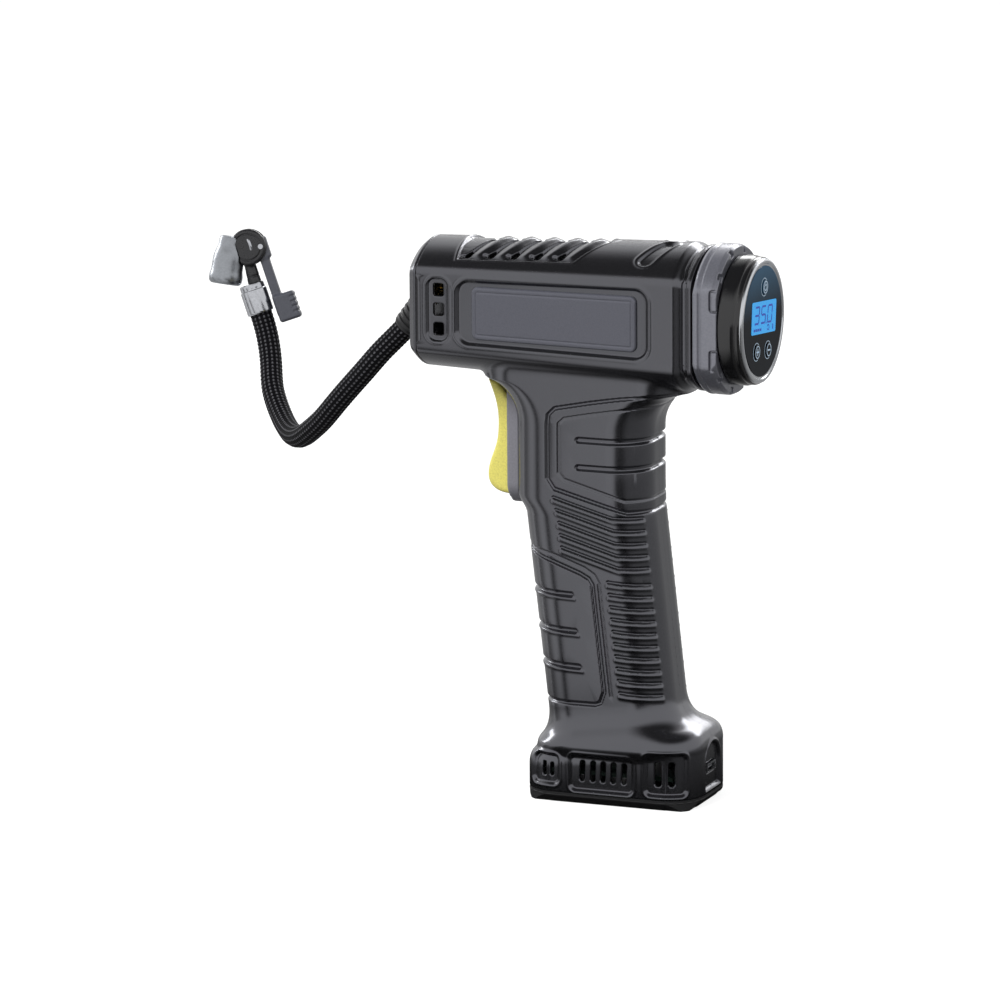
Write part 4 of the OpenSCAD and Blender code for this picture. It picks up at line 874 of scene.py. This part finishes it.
def arc_band(u, v, r, half, a0=0, a1=360, n=40):
    """The outline of a band along an arc."""
    return arc(u, v, r + half, a0, a1, n) + arc(u, v, r - half, a0, a1, n)[::-1]


def bar(u, v, w, h):
    """The outline of a rectangle of half sizes w and h."""
    return [(u - w, v - h), (u + w, v - h), (u + w, v + h), (u - w, v + h)]


fit(plate("lcd_screen", round_box(13.2, 6.1, 0.9, 0.6, 1.5), 0.08, LCD, FACE), "lcd")


def digit(u, v, w, h, on):
    """A digit's outlines; its segments are named a to g from the top, clockwise, the middle last."""
    slant, t = 0.12, 0.17 * w
    places = {"a": (0, h), "b": (w, h / 2), "c": (w, -h / 2), "d": (0, -h),
              "e": (-w, -h / 2), "f": (-w, h / 2), "g": (0, 0)}
    outlines = []
    for key in on:
        x, y = places[key]
        half = (w if x == 0 else h / 2) - t * 1.3
        hexagon = [(-half - t, 0), (-half, -t), (half, -t), (half + t, 0), (half, t), (-half, t)]
        if x:
            hexagon = [(-b, a) for a, b in hexagon]
        outlines.append([(u + x + a + slant * (y + b), v + y + b) for a, b in hexagon])
    return outlines


shapes = []
for i, on in enumerate(("abcdg", "acdfg", "abcdef")):
    shapes += digit(-7 + 7 * i, 2.5, 2.3, 3.1, on)
shapes.append(bar(3.1, -0.7, 0.35, 0.35))
shapes += [bar(-9.4 + 2.2 * i, -3, 0.85, 0.5) for i in range(4)]
shapes += [arc_band(5.6, -2.6, 1.0, 0.22, 200, 520, 20), bar(10.6, -2.6, 0.4, 1.0)]
fit(join("lcd_digits", [plate("segment", s, 0.05, DIGIT, DIGITS) for s in shapes]), "lcd")

# The keys stand in the glass, each with its icon, and a printed ring lies round each
KEY_SIDE = [(0, 67.3), (2.9, 67.3), (2.9, 67.6), (2.72, 67.72), (2.4, 67.76), (1.4, 67.75), (0, 67.75)]
rings = []
for name, angle in KEY_ANGLES.items():
    u, v = KEY_CIRCLE * math.cos(math.radians(angle)), KEY_CIRCLE * math.sin(math.radians(angle))
    cap = lathe(name + "_button_cap", KEY_SIDE, GLASS, aim((0, *on_face(u, v)), (1, 0, 0)), 48)
    fit(cap, "display_glass", body=name + "_key")
    marks = {"power": [arc_band(u, v, 1.25, 0.22, -235, 55, 28), bar(u, v + 1.15, 0.22, 0.75)],
             "plus": [bar(u, v, 1.35, 0.28), bar(u, v, 0.28, 1.35)],
             "minus": [bar(u, v, 1.35, 0.28)]}[name] + [arc_band(u, v, 2.25, 0.18)]
    icon = join(name + "_button_icon", [plate("mark", m, 0.06, ICON, KEY_FACE) for m in marks])
    fit(icon, "display_glass", body=name + "_key")
    rings.append(plate("mark", arc_band(u, v, 3.35, 0.12), 0.05, ICON, FACE))
fit(join("key_outlines", rings), "display_glass")


# ---------- side panels ----------

def side_panel(x, y, z):
    """The plate in the barrel's left side, with a groove near its edge."""
    rel, level = z - BARREL_Z, half_width(x)
    shape = rounded(x + 8.05, rel + 0.05, 33.35, 10.4 + 0.008 * (x + 8), 2.6)
    out = smax(shape, -y - level + 0.02, 1.1)
    out = out + 0.25 * bead(shape + 2.0, 0.28) * (y < -20)
    return np.maximum(out, y + level - 1.75)


PANEL_BOX = ((-42.8, -24.8, 174.5), (26.8, -19.6, 198.5))
for side in ("left", "right"):
    panel = carve(side + "_side_panel", side_panel, *PANEL_BOX, 0.28, PANEL, most=40000, flip=side == "right")
    fit(panel, "trim", "side_panel_" + side)


# ---------- trigger ----------

TRIGGER_FRONT = [(-11, 0), (-8.4, -6.4), (-7, -12), (-6.8, -18), (-7.4, -25), (-10.2, -31), (-11.6, -37),
                 (-10.4, -41.5), (-6.4, -44), (-2, -44.4)]
TRIGGER_BACK = [(4, -44.4), (4, -7), (-2.4, -6.4), (-7, -1.2)]
front_curve = b_spline(np.array([(*p, 0) for p in TRIGGER_FRONT], float), 4)[:, :2].tolist()
trigger_side = [(HEAD_FRONT + a, TRIGGER_TOP + b) for a, b in front_curve + TRIGGER_BACK]


def trigger(x, y, z):
    """The trigger and its finger rows, its plate, the spring's peg and the pad that presses the switch."""
    side, half = outline(x, z, trigger_side), np.abs(y)
    out = smax(side, half - 5.5, 2.4)
    for row in (137, 141, 145, 149):
        out = out + 0.28 * bead(z - row, 0.5) * (half < 3.2) * (x < -34)
    out = out + 0.25 * (bead(half - 3.4, 0.35) * (x < HEAD_FRONT - 3.5) * (side > -0.8))
    spring_z = TRIGGER_TOP - 20
    back = box(x + 25.5, y, z - spring_z + 1, (2.5, 5.5, 13), 0.2)
    peg = np.maximum(np.hypot(y, z - spring_z) - 1.6, np.abs(x + 22.5) - 1.5)
    pad = both(half - 2, np.abs(z - spring_z + 9.5) - 2.5, np.abs(x + 23.15) - 0.85)
    return either(out, back, peg, pad)


fit(carve("trigger_lever", trigger, (-45, -6.4, 112.8), (-19.5, 6.4, 160), 0.3, YELLOW, most=70000),
    "trigger_yellow", "trigger", body="trigger")


def guard(x, y, z):
    """The frame round the trigger: its front face is rounded, and its lower end is a half circle."""
    low, high, half = 110.8, 158.9, 8.7
    tall = np.where(z < low + half, np.hypot(y, z - low - half) - half, np.abs(y) - half)
    out = smax(np.maximum(tall, z - high), -33 - x, 1.6)
    out = np.maximum(out, x + 26.6)
    inner = rounded(y, z - 136.3, 5.8, 22.6, 1.5)
    seam = 0.35 * bead(inner - 0.9, 0.35) * (x < -32.2)
    return less(out + seam, inner)


fit(carve("trigger_guard", guard, (-34, -9.6, 110), (-25.8, 9.6, 160), 0.28, TRIM, most=40000),
    "trim", "trigger_bezel")


# ---------- foot ----------

def foot(x, y, z):
    """The plate under the base: its rim inside the shell, round pads, screw sinks and a label's recess."""
    out = both(base_plan(x, y) + np.maximum((2.9 - z) * 0.85, 0), -z, z - FOOT)
    out = out + 0.35 * bead(z - 3.9, 0.3)
    inner = base_plan(x, y, inset=2.5)
    out = np.minimum(out, both(inner, -inner - 2.2, 3 - z, z - 6.2))
    pads = np.minimum(np.hypot(x + 9, np.abs(y) - 15), np.hypot(x - 34.5, np.abs(y) - 14)) - 3.6
    out = less(out, np.maximum(np.abs(pads) - 0.35, z - 0.6))
    for at in (-14, 33):
        screw = np.hypot(x - at, y)
        out = less(out, np.minimum(np.maximum(screw - 2.55, z - 1.85), screw - 1.3))
    label = rounded(x - 9.5, y, 13, 6.5, 1.5)
    return less(out, np.maximum(label, z - 0.35))


fit(carve("foot_plate", foot, (-24.2, -24.2, -0.9), (48.2, 24.2, 7), 0.35, FOOT_PLASTIC, most=60000), "foot")


# ---------- chuck ----------

def rotation(degrees, axis):
    return Matrix.Rotation(math.radians(degrees), 4, axis)


CHUCK = aim(ROUTE[-1], ROUTE[-1] - ROUTE[-2]) @ rotation(CHUCK_TURN, "Z")
FERRULE = [(HOSE_BORE, -4.5), (4.95, -4.5), (5.2, -4.2), (5.25, -3.8), (5.25, 4.4), (5.15, 4.8), (4.9, 5.0),
           (4.85, 5.3), (4.9, 5.6), (4.9, 6.8), (4.7, 7.3), (4.3, 7.5), (2.9, 7.5), (2.9, 0.1),
           (HOSE_BORE, 0)]
fit(lathe("ferrule_band", FERRULE, CHROME, CHUCK), "steel", "hose_ferrule")


def chuck_head(x, y, z):
    """The round head on its stem, slotted for the lever and cut out for its pin and for the bell."""
    r = np.hypot(x - 3.6, z - 21.5)
    out = smax(r - 7.2, np.abs(y) - 4.5, 1.6)
    out = out + 0.3 * bead(r - 5.2, 0.3) * (np.abs(y) > 3.5)
    stem = both(np.hypot(x - 1.6, y) - 2.8 + 0.3 * bead(z - 10, 0.4), 7.5 - z, z - 21.5)
    out = smin(out, stem, 1.2)
    out = less(out, np.maximum(4.15 - x, np.abs(y) - 2.85))
    out = less(out, np.hypot(x - LEVER_PIN[0], z - LEVER_PIN[1]) - 1.02)
    tilt = math.radians(BELL_TILT)
    down = Vector((-math.sin(tilt), 0, -math.cos(tilt)))
    px, pz = x - BELL_AT[0], z - BELL_AT[2]
    along = px * down.x + pz * down.z
    off = np.sqrt(np.maximum(px ** 2 + y ** 2 + pz ** 2 - along ** 2, 0))
    return less(out, np.maximum(off - 4.75 - 0.3 * np.maximum(along, 0), -3.2 - along))


fit(carve("chuck_body", chuck_head, (-6, -5.4, 6.5), (12, 5.4, 30), 0.22, CHUCK_BLACK, CHUCK, most=50000),
    "chuck_black", "chuck_head")


def lever(x, y, z):
    """The lever, bored for its pin: its top, its arm and a thumb pad with four grooves."""
    px, pz = LEVER_PIN
    top = box(x - px - 0.6, y, z - pz + 0.7, (2.2, 2.7, 4.3), 0.9)
    arm = box(x - px + 0.2, y, z - pz + 15, (1.8, 2.7, 13), 0.7)
    pad = box(x - px - 2.3, y, z - pz + 25.5, (4.3, 4.3, 5.5), 1.2)
    out = smin(smin(top, arm, 1.2), pad, 1.0)
    for row in (-8, -6, -4, -2):
        out = out + 0.3 * bead(z - row, 0.45) * (x > px + 4.5)
    return np.maximum(out, 1.05 - np.hypot(x - px, z - pz))


fit(carve("lever_arm", lever, (5, -5.4, -12.2), (16.6, 5.4, 25.5), 0.24, LEVER, CHUCK, most=40000),
    "chuck_black", "chuck_lever", body="lever")

BELL_SIDE = [(0, -3), (3.6, -3), (4.4, -2.6), (4.65, -1.8), (4.7, 0), (4.95, 1.4), (5.5, 3), (5.95, 4.6),
             (6.15, 7), (6.2, 10.4), (6.4, 11.6), (6.6, 12.6), (6.6, 13.8), (6.4, 15), (5.9, 15.7), (5.4, 16),
             (4.7, 15.9), (4.32, 15.4), (4.3, 7), (5.2, 7), (5.2, 4.2), (1.5, 4.2), (1.5, -1.6), (0, -1.6)]
bell_frame = CHUCK @ Matrix.Translation(BELL_AT) @ rotation(180 + BELL_TILT, "Y")
fit(lathe("bell_shell", BELL_SIDE, BELL, bell_frame), "bell_alloy", "chuck_bell")

WIRE_CIRCLE, WIRE_RADIUS = 4.9, 0.7
ring_frame = CHUCK @ Matrix.Translation((2.4, 0, 22.3)) @ rotation(29, "Z") @ rotation(90, "Y")
wire = arc(WIRE_CIRCLE, 0, WIRE_RADIUS, 0, 360, 20)[:-1]
fit(lathe("chuck_wire", wire, CHROME, ring_frame), "steel", "chuck_ring")


# ---------- materials of the CAD's own pieces ----------

LOOKS = (
    (GLASS, "display_lens power_button plus_button minus_button"),
    (STEEL, "trigger_spring motor_can motor_shaft wrist_pin head_screws usb_socket base_screws"),
    (CAST, "pump_frame connecting_rod piston cylinder_head"),
    (BRASS, "cylinder_sleeve hose_fitting"),
    (CELL, "front_cell rear_cell"),
    (BOARD, "display_board main_board"),
    (FOOT_PLASTIC, "base_cover motor_end_cap"),
    (HEAD_BLACK, "cooling_fan battery_holder"),
    (SCREW, "trigger_switch shell_screws"),
    (SEAL, "piston_seal chuck_seal"),
    (LCD, "lcd_module"), (GEAR, "crank_gear"), (LINE, "air_line"), (CHROME, "lever_pin"))
look_of = {name: look for look, names in LOOKS for name in names.split()}
for obj in bpy.data.objects:
    name = obj.name.split(".")[0].split("/")[-1].removeprefix("cad_")
    if obj.type == "MESH" and name in look_of:
        obj.data.materials.clear()
        obj.data.materials.append(look_of[name])


# ---------- floor and light ----------

FLOOR_HALF = 9000


def floor_material():
    """A floor that is white to the view and keeps a shadow, and a white room with dark gaps to gloss."""
    m = bpy.data.materials.new("floor_white")
    m.use_nodes = True
    tree = m.node_tree
    nodes, links = tree.nodes, tree.links
    paint = nodes["Principled BSDF"]
    put(paint, {"Base Color": (0.3, 0.3, 0.3, 1), "Roughness": 0.9, "Specular IOR Level": 0.0})
    ray, add = nodes.new("ShaderNodeLightPath"), nodes.new("ShaderNodeAddShader")
    view, room = nodes.new("ShaderNodeEmission"), nodes.new("ShaderNodeEmission")
    where, part = nodes.new("ShaderNodeNewGeometry"), nodes.new("ShaderNodeSeparateXYZ")
    away, angle = nodes.new("ShaderNodeVectorMath"), nodes.new("ShaderNodeMath")
    away.operation, angle.operation = "LENGTH", "ARCTAN2"
    links.new(where.outputs["Position"], away.inputs[0])
    links.new(where.outputs["Position"], part.inputs["Vector"])
    links.new(part.outputs["Y"], angle.inputs[0])
    links.new(part.outputs["X"], angle.inputs[1])
    levels = ((-180, 0.25), (-168, 0.3), (-152, 1), (-140, 1), (-131, 0.03), (-127, 0.03), (-121, 0.75),
              (-112, 0.9), (-106, 1), (-84, 1), (-76, 0.03), (-60, 0.03), (-44, 0.25), (-5, 0.3), (25, 0.1),
              (75, 0.1), (95, 0.8), (150, 1), (172, 0.6))
    stops = [((degrees + 180) / 360, (level,) * 3) for degrees, level in levels]
    bands = ramp(tree, remap(tree, angle.outputs[0], -math.pi, math.pi), *stops)
    links.new(bands, room.inputs["Color"])
    links.new(remap(tree, away.outputs["Value"], 0.05, 0.22), room.inputs["Strength"])
    links.new(ray.outputs["Is Camera Ray"], view.inputs["Strength"])
    view.inputs["Color"].default_value = (0.86, 0.86, 0.86, 1)
    links.new(paint.outputs["BSDF"], add.inputs[0])
    links.new(view.outputs["Emission"], add.inputs[1])
    other, mix = nodes.new("ShaderNodeMath"), nodes.new("ShaderNodeMixShader")
    other.operation = "MAXIMUM"
    links.new(ray.outputs["Is Glossy Ray"], other.inputs[0])
    links.new(ray.outputs["Is Transmission Ray"], other.inputs[1])
    links.new(other.outputs[0], mix.inputs["Fac"])
    links.new(add.outputs["Shader"], mix.inputs[1])
    links.new(room.outputs["Emission"], mix.inputs[2])
    links.new(mix.outputs["Shader"], nodes["Material Output"].inputs["Surface"])
    return m


def stage():
    """The floor, three lamps and the room round them."""
    corners = [(x, y, 0) for x, y in bar(0, 0, FLOOR_HALF, FLOOR_HALF)]
    floor = new_mesh("floor", corners, [[0, 1, 2, 3]], floor_material(), smooth=False)
    aimed_at = Vector((0, 0, 0.12))
    for name, where, size, power in (("Key", (-0.5, -1.3, 1.9), (0.8, 0.8), 42),
                                     ("Left", (-1.1, 0.3, 0.5), (0.2, 0.5), 3),
                                     ("Back", (0.1, 1.6, 1.0), (1.4, 0.5), 14)):
        data = bpy.data.lights.new(name, "AREA")
        data.shape = "RECTANGLE"
        data.size, data.size_y, data.energy = size[0], size[1], power
        lamp = bpy.data.objects.new(name, data)
        bpy.context.scene.collection.objects.link(lamp)
        lamp.location = where
        lamp.visible_glossy = name != "Key"
        lamp.rotation_euler = (aimed_at - Vector(where)).to_track_quat("-Z", "Y").to_euler()
    world = bpy.data.worlds.new("Studio")
    bpy.context.scene.world = world
    world.use_nodes = True
    tree = world.node_tree
    nodes, links = tree.nodes, tree.links
    # the room: white walls up to a dark ceiling
    where, part = nodes.new("ShaderNodeTexCoord"), nodes.new("ShaderNodeSeparateXYZ")
    links.new(where.outputs["Generated"], part.inputs["Vector"])
    room = ramp(tree, part.outputs["Z"], (0.66, (1, 1, 1)), (0.87, (0.03, 0.03, 0.03)))
    soft, white = nodes["Background"], nodes.new("ShaderNodeBackground")
    for background, strength in ((soft, 0.6), (white, 1.0)):
        links.new(room, background.inputs["Color"])
        background.inputs["Strength"].default_value = strength
    ray, mix = nodes.new("ShaderNodeLightPath"), nodes.new("ShaderNodeMixShader")
    seen, most = nodes.new("ShaderNodeMath"), nodes.new("ShaderNodeMath")
    seen.operation = most.operation = "MAXIMUM"
    links.new(ray.outputs["Is Camera Ray"], seen.inputs[0])
    links.new(ray.outputs["Is Glossy Ray"], seen.inputs[1])
    links.new(seen.outputs[0], most.inputs[0])
    links.new(ray.outputs["Is Transmission Ray"], most.inputs[1])
    links.new(most.outputs[0], mix.inputs["Fac"])
    links.new(soft.outputs["Background"], mix.inputs[1])
    links.new(white.outputs["Background"], mix.inputs[2])
    links.new(mix.outputs["Shader"], nodes["World Output"].inputs["Surface"])
    bpy.context.scene.view_settings.view_transform = "Standard"


stage()
